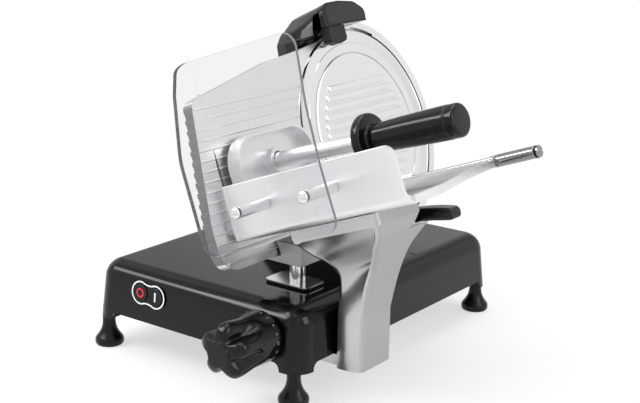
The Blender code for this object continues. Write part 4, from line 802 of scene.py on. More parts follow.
def lock_knob():
    knob = -HOUSING_TOP_DEPTH - 0.001
    profile = [(0, -0.0022), (0.0034, -0.0022)]
    for r, depth in (
        (0.0034, 0), (0.013, 0), (0.0155, 0.001), (0.016, 0.003), (0.016, 0.012), (0.0155, 0.014), (0.014, 0.0155),
        (0.012, 0.016), (0, 0.016),
    ):
        profile.append((r, knob - depth))
    flutes = [spindle(knob - 0.02, knob + 0.0005, 0.004, y, z, 32) for y, z in circle(0, 0, 0.0185, 6)]
    piece(
        "lock_knob", revolved(profile, 80), SOFT_PLASTIC, CUT, "cover_lock", "cover_tie_rod", "black_plastic",
        cut(together(*flutes)),
        edge=0.0006,
    )


def housing_section(c, front, inset):
    top = HOUSING_RADIUS - inset
    half = sqrt(max(top * top - c * c, 0.0)) + 0.004 if c > 0 else top + 0.004 + c * 0.045
    drop = min(max((-0.018 - c) / 0.04, 0.0), 1.0)
    crown = max(c - top + 0.02, 0.0)
    depth = HOUSING_TOP_DEPTH + (HOUSING_LOW_DEPTH - HOUSING_TOP_DEPTH) * drop * drop * (3 - 2 * drop)
    depth -= inset + 0.02 - sqrt(0.02 ** 2 - crown ** 2)
    corner = min(0.018 - inset, half * 0.9)
    outline = rounded([(front, half, 0), (front, -half, 0), (-depth, -half, corner), (-depth, half, corner)], 10)
    return [(a, y, c) for a, y in outline]


def housing_skin(front, inset, low):
    top = HOUSING_RADIUS - inset
    levels = [low, -0.11]
    levels += [-0.018 - 0.04 * (1 - i / 14) for i in range(15)]
    levels += [0.0, 0.02, 0.038]
    levels += [top - 0.02 * (1 - sin(i * pi / 10)) for i in range(1, 5)] + [top - 0.0005]
    return loft([housing_section(c, front, inset) for c in levels])


def motor_cover():
    front = -SUPPORT_BACK - CLEAR
    piece(
        "motor_cover", housing_skin(front, 0.0, -0.18), PAINT, CUT, "frame", "motor_housing", "black_paint",
        cut(housing_skin(front + 0.01, 0.003, -0.2)),
        cut(block((-0.4, -0.3, -0.1), (0.3, 0.4, BASE_TOP + CLEAR)), ROOT),
        cut(spindle(-0.2, -0.05, 0.0044)),
        edge=0.0005,
    )


def sharpener_section(a):
    """One level of the sharpener's hood: the panel's outline in front, wider to the left and sloped at its back."""
    even = (HOOD_FRONT - a) / HOOD_DEPTH
    share = sin(even * pi / 2)
    ring = GUARD_OUTER + 0.0007
    corners = [
        ((0.029, 0.146), (0.038, 0.144), 0.01, even), ((0.011, 0.157), (0.022, 0.156), 0.02, even),
        ((-0.0198, HOOD_TOP), (-0.008, HOOD_TOP), 0.03, even), ((-0.05, 0.1598), (-0.033, 0.1545), 0.03, even),
        ((-0.0566, 0.148), (-0.064, 0.137), 0.03, share),
    ]
    right = 0.029 + 0.009 * even
    outline = [(-0.057 - 0.0225 * share, 0.1218, 0.002)]
    outline += [(y, sqrt(ring * ring - y * y), 0.0) for y in (-0.045, -0.03, -0.015, 0.0, 0.012)]
    outline.append((right, sqrt(ring * ring - right * right), 0.002))
    for (y0, c0), (y1, c1), radius, way in corners:
        outline.append((y0 + (y1 - y0) * way, c0 + (c1 - c0) * way, radius))
    return [(a, y, c) for y, c in rounded(outline, 12)]


def sharpener():
    low = GUARD_OUTER + CLEAR + 0.0002
    levels = [sharpener_section(HOOD_FRONT - HOOD_DEPTH * i / 20) for i in range(21)]
    skirt = [(-0.079, 0.106, 0.004), (0.004, 0.104, 0.004), (0.004, low + 0.004, 0), (-0.075, 0.126, 0)]
    piece(
        "sharpener_shell", loft(levels), PLASTIC, CUT, "sharpener", "sharpener_body", "black_plastic",
        cut(block((0.0045, -0.09, 0.1), (0.03, 0.05, HOOD_SLOT))),
        add(block((-0.0165, -0.0415, HOOD_SLOT), (0.0198, 0.0285, 0.145))),
        add(block((0.015, -0.048, HOOD_SLOT), (0.0198, -0.03, 0.145))),
        cut(block((0.0045, -0.09, 0.1), (0.015, -0.042, 0.15))),
        add(plate(rounded(skirt, 8), "x", -0.045, -0.0318)),
        cut(spindle(-0.06, -0.02, 0.0035, -0.01, 0.1165)),
        cut(spindle(-0.0166, 0.001, GUARD_OUTER + 0.0005, segments=180)),
        edge=0.0016, segments=4,
    )
    panel = [
        (-0.05, 0.134, 0.004), (0.0255, 0.134, 0.003), (0.0262, 0.1445, 0.008), (0.0095, HOOD_TOP - 0.0056, 0.018),
        (-0.0198, HOOD_TOP - 0.0022, 0.02), (-0.049, HOOD_TOP - 0.0028, 0.012),
    ]
    piece(
        "sharpener_panel", plate(rounded(panel, 10), "x", 0.0195, 0.0203), PANEL_PLASTIC, CUT, "sharpener", edge=0.0003,
    )
    finger_low = 0.1085
    finger = rounded(
        [(-0.05, 0.1312, 0.0), (-0.05, finger_low + 0.004, 0.006), (-0.034, finger_low, 0.02),
         (-0.018, finger_low + 0.004, 0.006), (-0.018, 0.1312, 0.0)], 12,
    )
    piece(
        "sharpener_button", plate(finger, "x", 0.006, 0.0185), GREY_PLASTIC, CUT, "finger", "sharpener_finger",
        "grey_plastic", edge=0.0016, segments=4,
    )


# Gauge plate

def gauge_side(c):
    """Where the gauge plate's front edge lies at a height: upright low down, leaning in above."""
    return GAUGE_FRONT + max(c + 0.055, 0.0) * 0.157


def gauge_outline(inset=0.0):
    low = GAUGE_LOW + inset
    r = GAUGE_EDGE + inset
    end_y = -sqrt(r * r - low * low)
    end = atan2(low, end_y) + 2 * pi
    corners = [
        (end_y, low, 0), (GAUGE_FRONT + inset, low, 0.025), (GAUGE_FRONT + inset, -0.055, 0.05),
        (gauge_side(0.079) + inset, 0.079 - inset, 0.01), (-0.15, 0.1071 - inset, 0.06), (-0.0912, 0.112 - inset, 0.0),
    ]
    start = radians(125)
    if inset == 0:
        corners += [(-0.05, 0.119, 0.03), (-0.0285, 0.1262, 0.0)]
        start = radians(100.5)
    return rounded(corners, 12) + arc(0, 0, r, start, end, 90)[:-1]


def gauge():
    shapes = []
    c = 0.07
    half = 0.0014
    while c > GAUGE_LOW + 0.006:
        left = gauge_side(c) + 0.001 + max(0.0, (-0.083 - c) * 0.55)
        right = -sqrt(GAUGE_EDGE ** 2 - c * c) - 0.001
        rings = []
        for spread, a in ((1.0, -0.0019), (0.95, -0.0014), (0.8, -0.0007), (0.58, -0.00015), (0.3, 0.0)):
            w = half * spread
            rings.append([(a, left, c - w), (a, right, c - w), (a, right, c + w), (a, left, c + w)])
        shapes.append(loft(rings))
        c -= RIB_PITCH
    levels = [0.0643 - i * RIB_PITCH for i in range(13)]
    steps = [
        block((-GAUGE_DEPTH - 0.01, gauge_side(c) - 0.01, c - 0.0032), (-0.0034, gauge_side(c) + 0.0016, c + 0.0032))
        for c in levels
    ]
    pan = piece(
        "gauge_pan", plate(gauge_outline(), "x", -GAUGE_DEPTH, GAUGE_FACE), SATIN, CUT, "gauge", "gauge_plate",
        "anodised_aluminium",
        cut(plate(gauge_outline(GAUGE_WALL), "x", -GAUGE_DEPTH - 0.01, -0.0055)),
        cut(together(*steps)),
        edge=0.0005,
    )
    # The rim faces turned to the front take the dark copy of the plate's aluminium: painted shade
    second_look(pan, SHADED_EDGE_SATIN, lambda normal: normal.y < -0.8)
    piece("gauge_ribs", together(*shapes), SATIN, CUT, "gauge", angle=50)


def leaning(a, c):
    return (BLADE_X + a * cos(TILT) - c * sin(TILT), BLADE_Z + a * sin(TILT) + c * cos(TILT))


def gauge_mount():
    gap = 0.0006
    pad = GAUGE_FACE - 0.004 - CLEAR
    rim = -GAUGE_DEPTH - gap
    under = GAUGE_LOW - gap
    inner = GAUGE_LOW + GAUGE_WALL + gap
    right = POST_X + 0.019
    outline = [
        (right, 0.133), (right, 0.158), leaning(gap, -0.0919), leaning(gap, under), leaning(rim, under),
        leaning(rim, inner), leaning(pad, inner), leaning(pad, -0.06), leaning(pad - 0.012, -0.057),
        leaning(rim - 0.014, inner + 0.004), (0.052, 0.133),
    ]
    piece(
        "gauge_clamp", plate(outline, "y", POST_Y - 0.018, POST_Y + 0.018), CLAMP_LOOK, ROOT, "gauge", "gauge_bracket",
        "dark_metal",
        cut(rod((POST_X, POST_Y, 0.12), (POST_X, POST_Y, POST_TOP + CLEAR), POST_HOLE)),
        edge=0.001, segments=3,
    )
    profile = [
        (0, POST_TOP), (0.0082, POST_TOP), (0.0088, POST_TOP - 0.0003), (0.009, POST_TOP - 0.001), (0.009, 0.083),
        (0, 0.083),
    ]
    piece(
        "post_look", revolved(profile, axis="z"), STEEL, ROOT @ shift(POST_X, POST_Y, 0), "gauge", "gauge_post",
        "polished_steel",
    )
    middle = POST_X - 0.004
    ring = circle(POST_X, POST_Y, POST_HOLE)

    def sheet(inset, radius):
        x = 0.03 - inset
        y = 0.0185 - inset
        return oblong(middle - x, POST_Y - y, middle + x, POST_Y + y, radius)

    seal = BASE_TOP + CLEAR
    piece(
        "slot_seal", plate(sheet(0.0008, 0.004), "z", seal, seal + 0.002, holes=(ring,)), RUBBER, ROOT, "gauge",
        "slot_gasket", "black_rubber", edge=0.0003,
    )
    low = seal + 0.002 + CLEAR
    piece(
        "slot_plate", plate(sheet(0.0, 0.0065), "z", low, low + 0.0015, holes=(ring,)), STEEL, ROOT, "gauge",
        "slot_cover", "polished_steel", edge=0.0004,
    )


def digits(text, size):
    curve = bpy.data.curves.new("digits", "FONT")
    curve.body = text
    curve.size = size
    curve.align_x = "CENTER"
    curve.align_y = "CENTER"
    curve.extrude = 0.00012
    curve.resolution_u = 4
    return baked(linked("digits", curve))


def knob_radii(d):
    """The knob's radius on a lobe and between lobes, at a depth behind its face: a flat hub, then domed lobes."""
    share = min(max(d - KNOB_STEP, 0.0) / KNOB_DOME, 1.0)
    lobe = KNOB_HUB + (KNOB_LOBE - KNOB_HUB) * sqrt(1 - (1 - share) ** 2)
    valley = 0.0148 + 0.003 * min(d / 0.01, 1.0)
    if d > 0.02:
        lobe = KNOB_LOBE - 0.0023 * min((d - 0.02) / 0.02, 1.0)
    if d > 0.04:
        lobe = KNOB_BACK + 0.0005 * (d - 0.04) / 0.032
    if d > 0.022:
        share = min((d - 0.022) / 0.034, 1.0)
        valley = 0.0178 + (KNOB_BACK - 0.0178) * share * share * (3 - 2 * share)
    return lobe, min(valley, lobe)


def knob():
    place = ROOT @ shift(KNOB_X, 0, KNOB_Z)
    wall = -wall_depth(KNOB_Z)
    length = wall - KNOB_GAP - KNOB_FACE_Y
    depths = [0.0, 0.0018, KNOB_STEP] + [KNOB_STEP + KNOB_DOME * (1 - cos(i * pi / 28)) for i in range(1, 14)]
    depths += [0.0147 + (length - 0.0162) * i / 28 for i in range(29)]
    depths += [length - 0.0008, length - 0.0002, length]
    rings = []
    for d in depths:
        lobe, valley = knob_radii(d)
        shrink = 0.0009 if d in (0.0, length) else 0.0003 if d > length - 0.0003 else 0.0
        ring = []
        for k in range(240):
            turn = 2 * pi * k / 240
            wave = 0.5 + 0.5 * cos(5 * (turn - radians(18)))
            r = valley + (lobe - valley) * (1 - (1 - wave) ** 1.7) - shrink
            ring.append((r * cos(turn), KNOB_FACE_Y + d, r * sin(turn)))
        rings.append(ring)
    piece("gauge_knob", loft(rings), PLASTIC, place, "knob", "thickness_knob", "black_plastic", angle=60)
    marks = []
    for i in range(15):
        turn = -2 * pi * i / 18 + radians(200)
        mark = digits(str(i), 0.0046)
        lay = (
            Matrix.Rotation(-turn, 4, "Y") @ shift(0.0294, wall - KNOB_GAP - 0.0065, 0)
            @ Matrix.Rotation(pi / 2, 4, "Y") @ Matrix.Rotation(pi, 4, "Z")
        )
        marks.append(placed(mark, lay))
    piece("knob_numbers", together(*marks), GREY_INK, place, "knob")
    pointer = rod((-0.0335, -0.0012, 0), (-0.0335, 0.0012, 0), 0.0013, 0.0013, 24)
    piece(
        "dial_pointer", pointer, WHITE_INK, ROOT @ shift(KNOB_X, wall, KNOB_Z) @ Matrix.Rotation(radians(20), 4, "Y"),
        "frame", edge=0.0003,
    )


# Carriage

def column_section(left, right, dish=0.0):
    """One level of the column: rounded at its sides and slightly dished in front."""
    x0, y0, z0 = left
    x1, y1, z1 = right
    width = sqrt((x1 - x0) ** 2 + (z1 - z0) ** 2)
    points = []
    back = COLUMN_BACK + 0.006
    corners = [(u, y, 0.006) for u, y in ((0, y0), (0, back), (width, back), (width, y1))]
    for u, y in rounded(corners, 8):
        points.append((x0 + (x1 - x0) * u / width, y, z0 + (z1 - z0) * u / width))
    for i in range(11, 0, -1):
        share = i / 12
        front = y0 + (y1 - y0) * share + dish * (1 - (2 * share - 1) ** 2)
        points.append((x0 + (x1 - x0) * share, front, z0 + (z1 - z0) * share))
    return points


def smoothed(rings, steps):
    """Rings between the given ones along a smooth curve through each point."""
    result = []
    last = len(rings) - 1
    for i in range(last):
        before = rings[max(i - 1, 0)]
        after = rings[min(i + 2, last)]
        for k in range(steps):
            t = k / steps
            ring = []
            for p0, p1, p2, p3 in zip(before, rings[i], rings[i + 1], after):
                p0, p1, p2, p3 = (Vector(p) for p in (p0, p1, p2, p3))
                ring.append(
                    0.5 * (2 * p1 + (p2 - p0) * t + (2 * p0 - 5 * p1 + 4 * p2 - p3) * t * t
                           + (3 * p1 - p0 - 3 * p2 + p3) * t * t * t)
                )
            result.append(ring)
    result.append([Vector(p) for p in rings[-1]])
    return result


def on_table(a, y, c):
    x, z = leaning(a, c)
    return (x, y, z)


def column():
    low, high = (
        column_section(on_table(0.0735, -0.2, c), on_table(0.19, -0.2, c)) for c in (UNDER - 0.0135, UNDER)
    )
    foot, *bend = [
        column_section(*level) for level in (
            ((COLUMN_IN, COLUMN_FRONT, 0.03), (COLUMN_OUT, -0.1385, 0.03), -0.002),
            ((COLUMN_IN, COLUMN_FRONT, 0.092), (COLUMN_OUT, -0.1385, 0.092), -0.0015),
            ((0.1605, -0.144, 0.1165), (0.2, -0.143, 0.13), 0.001),
            ((0.164, -0.153, 0.14), (0.212, -0.149, 0.164), 0.004),
            ((0.162, -0.17, 0.157), (0.228, -0.17, 0.189), 0.005),
            ((0.157, -0.188, 0.169), (0.243, -0.188, 0.208), 0.004),
        )
    ]
    skin = [foot] + smoothed(bend + [low], 5) + [high]
    floor = UNDER - 0.03
    notch = [(0.04, UNDER + 0.02), (0.04, floor), (0.3, floor), (0.3, UNDER + 0.02)]
    arm = piece(
        "column_arm", loft(skin), COLUMN_POLISH, ROOT, "carriage", "carriage_column", "cast_aluminium",
        cut(plate(notch, "y", LEVER_Y - 0.032, 0.0), TABLE),
        add(block((0.118, -0.138, 0.031), (COLUMN_IN + 0.01, -0.092, 0.0435))),
        cut(rod((LEVER_A, LEVER_Y, floor - 0.0103), (LEVER_A, LEVER_Y, floor + 0.01), LEVER_BORE), TABLE),
        edge=0.0012, angle=38, segments=3,
    )
    second_look(arm, COLUMN_SATIN, lambda normal: normal.x > 0.62)


def lever():
    top = UNDER - 0.012
    levels = [
        (LEVER_A - 0.013, 0.009, top - 0.001, top - 0.0125), (LEVER_A - 0.009, 0.0115, top, top - 0.014),
        (LEVER_A + 0.012, 0.0115, top, top - 0.014), (LEVER_A + 0.045, 0.011, top - 0.0025, top - 0.0165),
        (0.206, 0.0105, top - 0.007, top - 0.0205), (0.2118, 0.009, top - 0.0095, top - 0.0195),
    ]
    rings = []
    for a, half, high, low in levels:
        rings.append([(a, LEVER_Y + y, c) for y, c in oblong(-half, low, half, high, 0.004)])
    piece(
        "release_handle", loft(smoothed(rings, 5)), PLASTIC, TABLE, "lever", "release_lever", "black_plastic",
        cut(rod((LEVER_A, LEVER_Y, top - 0.03), (LEVER_A, LEVER_Y, top + 0.01), LEVER_BORE)),
        edge=0.0006,
    )


TRAY_EDGE_Y = [WALL_Y, -0.185, -0.165, -0.145, -0.12, -0.08, -0.0403, 0.0, 0.03, TRAY_BACK + 0.01]


def tray_edge(y):
    """Where the floor's right edge lies: straight near the wall, then slanting in towards the rail."""
    points = [(WALL_Y, 0.2388), (-0.165, 0.2384), (-0.145, 0.2362), (-0.0403, 0.2), (TRAY_BACK, 0.1785), (0.1, 0.1785)]
    for (y0, a0), (y1, a1) in zip(points, points[1:]):
        if y <= y1:
            return a0 + (a1 - a0) * max(y - y0, 0.0) / (y1 - y0)
    return points[-1][1]


def tray():
    under = FLOOR_TOP - FLOOR_THICK
    inner = WALL_Y + WALL_THICK
    section = rounded(
        [(WALL_Y, WALL_TOP, 0.0012), (WALL_Y, under, 0.009), (TRAY_BACK, under, 0.002),
         (TRAY_BACK, FLOOR_TOP + 0.003, 0.001), (TRAY_BACK - 0.003, FLOOR_TOP + 0.003, 0.001),
         (TRAY_BACK - 0.003, FLOOR_TOP, 0.0), (inner, FLOOR_TOP, 0.006), (inner, WALL_TOP, 0.0012)], 14,
    )
    radius = 0.012
    outside = 0.32
    heel = WALL_RIGHT + 0.0043
    removed = [(outside, WALL_TOP + 0.02), (WALL_RIGHT - radius, WALL_TOP + 0.02)]
    removed += arc(WALL_RIGHT - radius, WALL_TOP - radius, radius, pi / 2, 0, 16)
    removed += [(WALL_RIGHT, -0.064), (WALL_RIGHT + 0.0004, -0.07), (WALL_RIGHT + 0.0016, -0.0752), (heel, under)]
    removed += [(heel, under - 0.01), (outside, under - 0.01)]
    slant = [(outside, WALL_Y - 0.05), (heel, WALL_Y - 0.05)] + [(tray_edge(y), y) for y in TRAY_EDGE_Y]
    slant += [(outside, TRAY_BACK + 0.01)]
    lugs = []
    for low, high in ((TRAY_LEFT, TRAY_LEFT + 0.004), (0.17, 0.178)):
        shape = rounded(
            [(TRAY_BACK - 0.004, under + 0.001, 0.0), (ROD_Y - 0.002, ROD_C - ROD_RADIUS - 0.0015, 0.003),
             (ROD_Y + 0.0075, ROD_C - ROD_RADIUS - 0.0015, 0.006), (ROD_Y + 0.008, ROD_C + 0.003, 0.006),
             (ROD_Y, ROD_C + ROD_RADIUS + 0.0014, 0.004), (TRAY_BACK - 0.004, FLOOR_TOP - 0.0005, 0.0)], 8,
        )
        lugs.append(plate(shape, "x", low, high))
    pan = piece(
        "food_tray", plate(section, "x", TRAY_LEFT, TRAY_RIGHT), TRAY_SATIN, TABLE, "carriage", "tray",
        "anodised_aluminium",
        cut(plate(removed, "y", WALL_Y - 0.02, inner + 0.0065)),
        cut(plate(slant, "z", under - 0.01, 0.02)),
        add(together(*lugs)),
        cut(spindle(0.0, 0.3, ROD_RADIUS + CLEAR, ROD_Y, ROD_C)),
        edge=0.0006,
    )
    # The floor's upward faces take the darker copy of the tray's aluminium: painted shade
    second_look(pan, SHADED_FLOOR_SATIN, lambda normal: normal.z > 0.7)
    ribs = []
    start = TRAY_LEFT + 0.003
    y = inner + 0.01
    while y < TRAY_BACK - 0.008:
        end = tray_edge(y) - 0.0022
        rings = []
        for half, rise in ((0.0016, -0.0004), (0.0014, 0.0003), (0.0008, 0.0008), (0.0002, 0.001)):
            c = FLOOR_TOP + rise
            rings.append([(start, y - half, c), (end, y - half, c), (end, y + half, c), (start, y + half, c)])
        ribs.append(loft(rings))
        y += 0.0052
    # The ribs take the same painted shade as the floor
    piece("tray_ribs", together(*ribs), SHADED_FLOOR_SATIN, TABLE, "carriage", angle=50)


def guard():
    lean = radians(45)
    dx = GUARD_FLANGE * cos(lean)
    dy = GUARD_FLANGE * sin(lean)
    t = GUARD_THICK
    front = GUARD_Y
    bend = rounded(
        [(GUARD_LEFT - dx, front - dy, 0.0), (GUARD_LEFT, front, 0.0025), (0.2, front, 0.0), (0.2, front + t, 0.0),
         (GUARD_LEFT - t * tan(lean / 2), front + t, 0.006),
         (GUARD_LEFT - dx - t * sin(lean), front - dy + t * cos(lean), 0.0)], 12,
    )
    left = GUARD_LEFT - dx + 0.0002
    outline = rounded(
        [(left, GUARD_LOW, 0.016), (GUARD_RIGHT, GUARD_LOW, 0.013), (0.1828, -0.02, 0.15), (0.1854, 0.0406, 0.15),
         (0.1952, 0.1122, 0.016), (left + 0.015, GUARD_TOP - 0.001, 0.012), (left + 0.0085, 0.0855, 0.05),
         (left, 0.02, 0.15)], 16,
    )
    holes = [rod((a, front - 0.02, STANDOFF_C), (a, front + 0.02, STANDOFF_C), 0.003) for a in STANDOFFS.values()]
    sheet = piece(
        "guard_sheet", plate(bend, "z", GUARD_LOW, GUARD_TOP), CLEAR_LOOK, TABLE, "carriage", "clear_guard",
        "clear_plastic",
        keep(plate(outline, "y", front - dy - 0.02, front + 0.02)),
        cut(together(*holes)),
        edge=0.0009,
    )
    # The sheet's rim faces take the opaque grey: painted reflection and shade
    second_look(sheet, PAINTED_SHEET_EDGE, lambda n: abs(n.z) > 0.3 or abs(n.x) > 0.9 or max(n.x, n.y) < -0.5)
    sheet.data.transform(sheet.matrix_world)
    sheet.matrix_world = Matrix.Identity(4)
    for name, a in STANDOFFS.items():
        place = TABLE @ shift(a, 0, STANDOFF_C)
        high = front + t + CLEAR
        low = WALL_Y - CLEAR
        profile = [
            (0, -high - 0.007), (0.0027, -high - 0.007), (0.0027, -high), (0.0059, -high),
            (STANDOFF_RADIUS, -high - 0.0004), (STANDOFF_RADIUS, -low + 0.0004), (0.0059, -low), (0, -low),
        ]
        piece(
            f"standoff_{name}_look", revolved(profile, 48, axis="y"), SATIN, place, "carriage", f"standoff_{name}",
            "polished_steel",
        )
        head = -front
        profile = [(0, head + 0.0045)]
        for i in range(1, 12):
            turn = i * (pi / 2) / 11
            profile.append((STANDOFF_RADIUS * sin(turn), head + CLEAR + 0.0008 + 0.0034 * cos(turn)))
        profile += [
            (STANDOFF_RADIUS, head + CLEAR), (0.0024, head + CLEAR), (0.0024, -high - 0.0065), (0, -high - 0.0065),
        ]
        slot = block((-0.01, -head - 0.006, -0.0011), (0.01, -head - 0.0014, 0.0011))
        piece(
            f"guard_screw_{name}_look", revolved(profile, axis="y"), STEEL, place, "carriage", f"guard_screw_{name}",
            "polished_steel",
            cut(slot, place @ Matrix.Rotation(0.35, 4, "Y")),
            edge=0.0002,
        )


def rail():
    start = TRAY_LEFT + 0.0005
    end = ROD_END - 0.006
    r = ROD_RADIUS
    thick = 0.0074
    tip = ROD_END - 0.0002
    profile = [
        (0, tip - 0.003), (r - 0.0018, tip - 0.003), (r - 0.0018, end), (thick - 0.0006, end), (thick, end - 0.0006),
        (thick, 0.1798), (thick - 0.0008, 0.179), (r, 0.179), (r, start + 0.0008), (r - 0.0008, start), (0, start),
    ]
    head = [
        (0, tip), (thick - 0.0012, tip), (thick - 0.0004, tip - 0.0006), (thick - 0.0002, tip - 0.0014),
        (thick - 0.0002, tip - 0.0022), (r - 0.0018, tip - 0.0024), (r - 0.0018, tip - 0.003), (0, tip - 0.003),
    ]
    slot = block((tip - 0.0016, -0.01, -0.0009), (tip + 0.01, 0.01, 0.0009))
    place = TABLE @ shift(0, ROD_Y, ROD_C)
    # The rod and its tip take the darkened steel: painted shade
    piece("rail_rod", revolved(profile), SHADED_RAIL_STEEL, place, "carriage", "pusher_rod", "polished_steel")
    piece("rail_tip", revolved(head), SHADED_RAIL_STEEL, place, "carriage", None, None, cut(slot))
    high = ROD_END - 0.0025
    low = ROD_END - 0.0057
    ring = [(0.0043, low), (0.0043, high)]
    for i in range(9):
        turn = pi / 2 - i * pi / 8
        ring.append((thick - 0.0014 + 0.0016 * cos(turn), (high + low) / 2 + 0.0016 * sin(turn)))
    piece("rail_ring", revolved(list(reversed(ring)), loop=True), RUBBER, place, "carriage", "rod_ring", "black_rubber")


def pusher():
    low = FLOOR_TOP + 0.0025
    left = PUSHER_Y - PUSHER_HALF
    right = PUSHER_Y + PUSHER_HALF
    outline = [(left, low, 0.006), (right, low, 0.006), (right, PUSHER_TOP, 0.034), (left, PUSHER_TOP, 0.034)]
    inset = 0.0035
    inner = [
        (left + inset, low + inset, 0.004), (right - inset, low + inset, 0.004),
        (right - inset, PUSHER_TOP - inset, 0.03), (left + inset, PUSHER_TOP - inset, 0.03),
    ]
    hub = ROD_RADIUS + 0.0045
    arm = [(right - 0.004, ROD_C + 0.0275), (ROD_Y + 0.004, ROD_C + 0.0275), (ROD_Y + 0.008, ROD_C + 0.0235)]
    arm += arc(ROD_Y, ROD_C, hub + 0.001, 0, -pi, 24)
    arm += [(ROD_Y - 0.0085, ROD_C + 0.0155), (right - 0.004, ROD_C + 0.0155)]
    far = TRAY_LEFT + PUSHER_DEPTH
    piece(
        "pusher_pan", plate(rounded(outline, 14), "x", TRAY_LEFT, far), SATIN, TABLE, "pusher", "pusher_plate",
        "anodised_aluminium",
        cut(plate(rounded(inner, 12), "x", TRAY_LEFT + 0.005, far + 0.01)),
        add(spindle(TRAY_LEFT + 0.0045, far, 0.014, PUSHER_Y, PUSHER_C)),
        cut(spindle(TRAY_LEFT + 0.008, far + 0.02, 0.0093, PUSHER_Y, PUSHER_C)),
        add(plate(arm, "x", TRAY_LEFT + 0.0045, far - 0.0025)),
        cut(spindle(TRAY_LEFT - 0.01, far + 0.03, ROD_RADIUS + CLEAR, ROD_Y, ROD_C)),
        edge=0.0008, segments=3,
    )
    start = far - 0.0025 + CLEAR
    end = TRAY_LEFT + 0.055
    bore = ROD_RADIUS + CLEAR
    ease = 0.0006
    tube = [(bore, end), (hub - ease, end), (hub, end - ease), (hub, start + ease), (hub - ease, start), (bore, start)]
    place = TABLE @ shift(0, ROD_Y, ROD_C)
    piece(
        "rail_sleeve", revolved(tube, loop=True), SATIN, place, "pusher_carrier", "pusher_sleeve", "anodised_aluminium",
    )
    place = TABLE @ shift(0, PUSHER_Y, PUSHER_C - 0.0003) @ Matrix.Rotation(radians(1.9), 4, "Y")
    start = TRAY_LEFT + 0.0082 + CLEAR
    flange = 0.143
    r = 0.009
    stem = [(r - 0.0015, flange - CLEAR), (r, flange - CLEAR), (r, start), (r - 0.0015, start)]
    piece("push_tube", revolved(stem, 72, True), SATIN, place, "pusher", "pusher_tube", "anodised_aluminium")
    grip = [
        (0, 0.2655), (0.014, 0.2655), (0.016, 0.2651), (0.0172, 0.2641), (0.0178, 0.2625), (0.018, 0.256),
        (0.0176, 0.2545), (0.0172, 0.254), (0.0172, 0.253), (0.0176, 0.2526), (0.0181, 0.2518), (0.0181, 0.24),
        (0.0177, 0.22), (0.0171, 0.2), (0.0163, 0.18), (0.0157, 0.168), (0.0155, 0.16), (0.0158, 0.156),
        (0.0168, 0.1548), (0.0258, 0.1543), (0.0274, 0.1536), (0.0282, 0.152), (0.0284, 0.15), (0.0282, 0.146),
        (0.0272, 0.144), (0.0255, flange), (0, flange),
    ]
    piece("push_grip", revolved(grip, 96), PLASTIC, place, "pusher", "pusher_handle", "black_plastic", angle=60)


for build in (
    base, feet, switch, back_fittings, support, blade, cover, lock_knob, motor_cover, sharpener, gauge, gauge_mount,
    knob, column, lever, tray, guard, rail, pusher,
):
    build()

DRESSED = {
    SOFT_PLASTIC: ["bottom_cover", "switch_box"],
    CASE_PLASTIC: ["control_box", "run_capacitor"],
    STEEL: [
        "bearing_front", "bearing_rear", "blade_shaft", "motor_pulley", "gauge_rod", "knob_shaft", "carriage_guide",
        "lever_pin", "gauge_cam",
    ],
    DARK: ["blade_pulley", "motor_plate", "gauge_slide", "carriage_slider"],
    CASTING: ["motor"],
    RUBBER: ["drive_belt"],
    BRASS: ["knob_bush", "slider_bush"],
    STONE: ["grinding_stone", "honing_stone"],
}
for finish, names in DRESSED.items():
    dress(names, finish)


# Camera, floor and light

CAMERA_PLACE = (0.9517, -1.2464, 0.5944)
CAMERA_AZIMUTH = radians(36.52)
CAMERA_ELEVATION = radians(15.43)
CAMERA_ROLL = radians(0.98)
CAMERA_LENS = 74.53
WHITE = (1, 1, 1, 1)
DARK_SIDE = (-0.58, 0.78, 0.22)
BAND_COUNT = 7.0
LIGHT_LEVEL = 0.55
FADE_REACH = (0.2, 0.62)


def camera():
    az, el, roll = CAMERA_AZIMUTH, CAMERA_ELEVATION, CAMERA_ROLL
    ahead = Vector((-sin(az) * cos(el), cos(az) * cos(el), -sin(el)))
    across = Vector((cos(az), sin(az), 0))
    upward = Vector((-sin(az) * sin(el), cos(az) * sin(el), cos(el)))
    right = cos(roll) * across + sin(roll) * upward
    up = -sin(roll) * across + cos(roll) * upward
    data = bpy.data.cameras.new("camera")
    data.lens = CAMERA_LENS
    data.sensor_width = 36.0
    data.clip_start = 0.05
    item = linked("camera", data)
    turn = Matrix((right, up, -ahead)).transposed().to_4x4()
    item.matrix_world = Matrix.Translation(ORIGIN + Vector(CAMERA_PLACE)) @ turn
    bpy.context.scene.camera = item


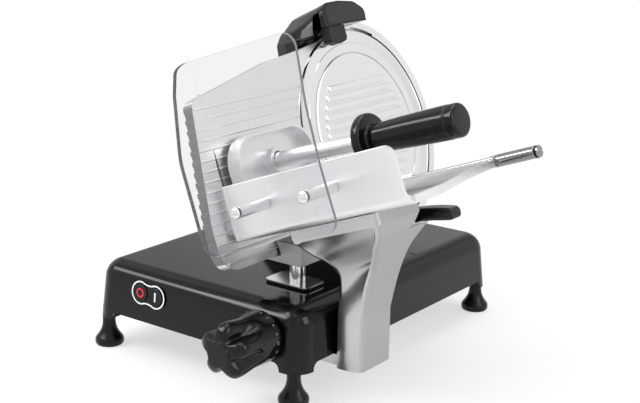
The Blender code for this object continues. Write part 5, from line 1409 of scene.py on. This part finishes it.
def world():
    """White to the camera and through the clear sheet, softer as light, with a dark side in reflections."""
    made = bpy.data.worlds.new("studio")
    bpy.context.scene.world = made
    made.use_nodes = True
    made.node_tree.nodes.clear()
    nodes = Nodes(made.node_tree)
    smooth = {"interpolation_type": "SMOOTHSTEP"}

    def math(operation, *values):
        return nodes.node("Math", enumerate(values), operation=operation).outputs[0]

    def choose(switch, no, yes):
        return nodes.node("Mix", {0: switch, 2: no, 3: yes}, data_type="FLOAT").outputs[0]

    path = nodes.node("LightPath").outputs
    seen = math("MAXIMUM", path["Is Camera Ray"], path["Is Transmission Ray"])
    ahead = nodes.node("TexCoord").outputs["Generated"]
    towards = nodes.node("VectorMath", {0: ahead, 1: DARK_SIDE}, operation="DOT_PRODUCT").outputs["Value"]
    mirrored = nodes.ramp(towards, 0.55, 0.93, 1.0, 0.8, **smooth)
    split = nodes.node("SeparateXYZ", {0: ahead}).outputs
    turn = math("ARCTAN2", split["Y"], split["X"])
    bands = nodes.ramp(math("SINE", math("MULTIPLY", turn, BAND_COUNT)), -0.9, 0.2, 0.72, 1.0, **smooth)
    reflected = choose(path["Is Glossy Ray"], LIGHT_LEVEL, math("MULTIPLY", bands, mirrored))
    back = nodes.node("Background", {"Color": WHITE, "Strength": choose(seen, reflected, 1.0)})
    nodes.node("OutputWorld", {0: back.outputs[0]})


def lamp(name, place, target, size, power):
    data = bpy.data.lights.new(name, "AREA")
    data.shape = "RECTANGLE"
    data.size, data.size_y = size
    data.energy = power
    item = linked(name, data)
    place = Vector(place)
    turn = (Vector(target) - place).to_track_quat("-Z", "Y").to_matrix().to_4x4()
    item.matrix_world = Matrix.Translation(place) @ turn


def floor():
    """A pale floor that takes the shadow near the machine and fades into white."""
    mesh = bpy.data.meshes.new("floor")
    mesh.from_pydata([(-9, -9, 0), (9, -9, 0), (9, 9, 0), (-9, 9, 0)], [], [(0, 1, 2, 3)])
    item = linked("floor", mesh)
    item.location = (0, 0, -0.0002)
    look = bpy.data.materials.new("floor")
    look.use_nodes = True
    look.node_tree.nodes.clear()
    nodes = Nodes(look.node_tree)
    place = nodes.node("TexCoord").outputs["Object"]
    reach = nodes.node("VectorMath", {0: place}, operation="LENGTH").outputs["Value"]
    fade = nodes.ramp(reach, *FADE_REACH, 0.6, interpolation_type="SMOOTHSTEP")
    near = nodes.node("BsdfDiffuse", {"Color": (0.92, 0.92, 0.92, 1)})
    far = nodes.node("Emission", {"Color": WHITE, "Strength": 1.0})
    mix = nodes.node("MixShader", {0: fade, 1: near.outputs[0], 2: far.outputs[0]})
    nodes.node("OutputMaterial", {0: mix.outputs[0]})
    mesh.materials.append(look)


camera()
world()
lamp("key", (-0.9, -1.3, 1.9), (0, 0, 0.15), (1.2, 1.2), 28)
lamp("side", (1.9, 0.1, 1.2), (0, 0, 0.15), (1.0, 1.4), 14)
lamp("top", (0, 0.3, 2.2), (0, 0, 0.1), (1.6, 1.6), 22)
lamp("strip", (-1.35, -1.25, 1.3), (0, 0, 0.2), (1.3, 0.35), 10)
floor()
bpy.context.scene.view_settings.view_transform = "Standard"
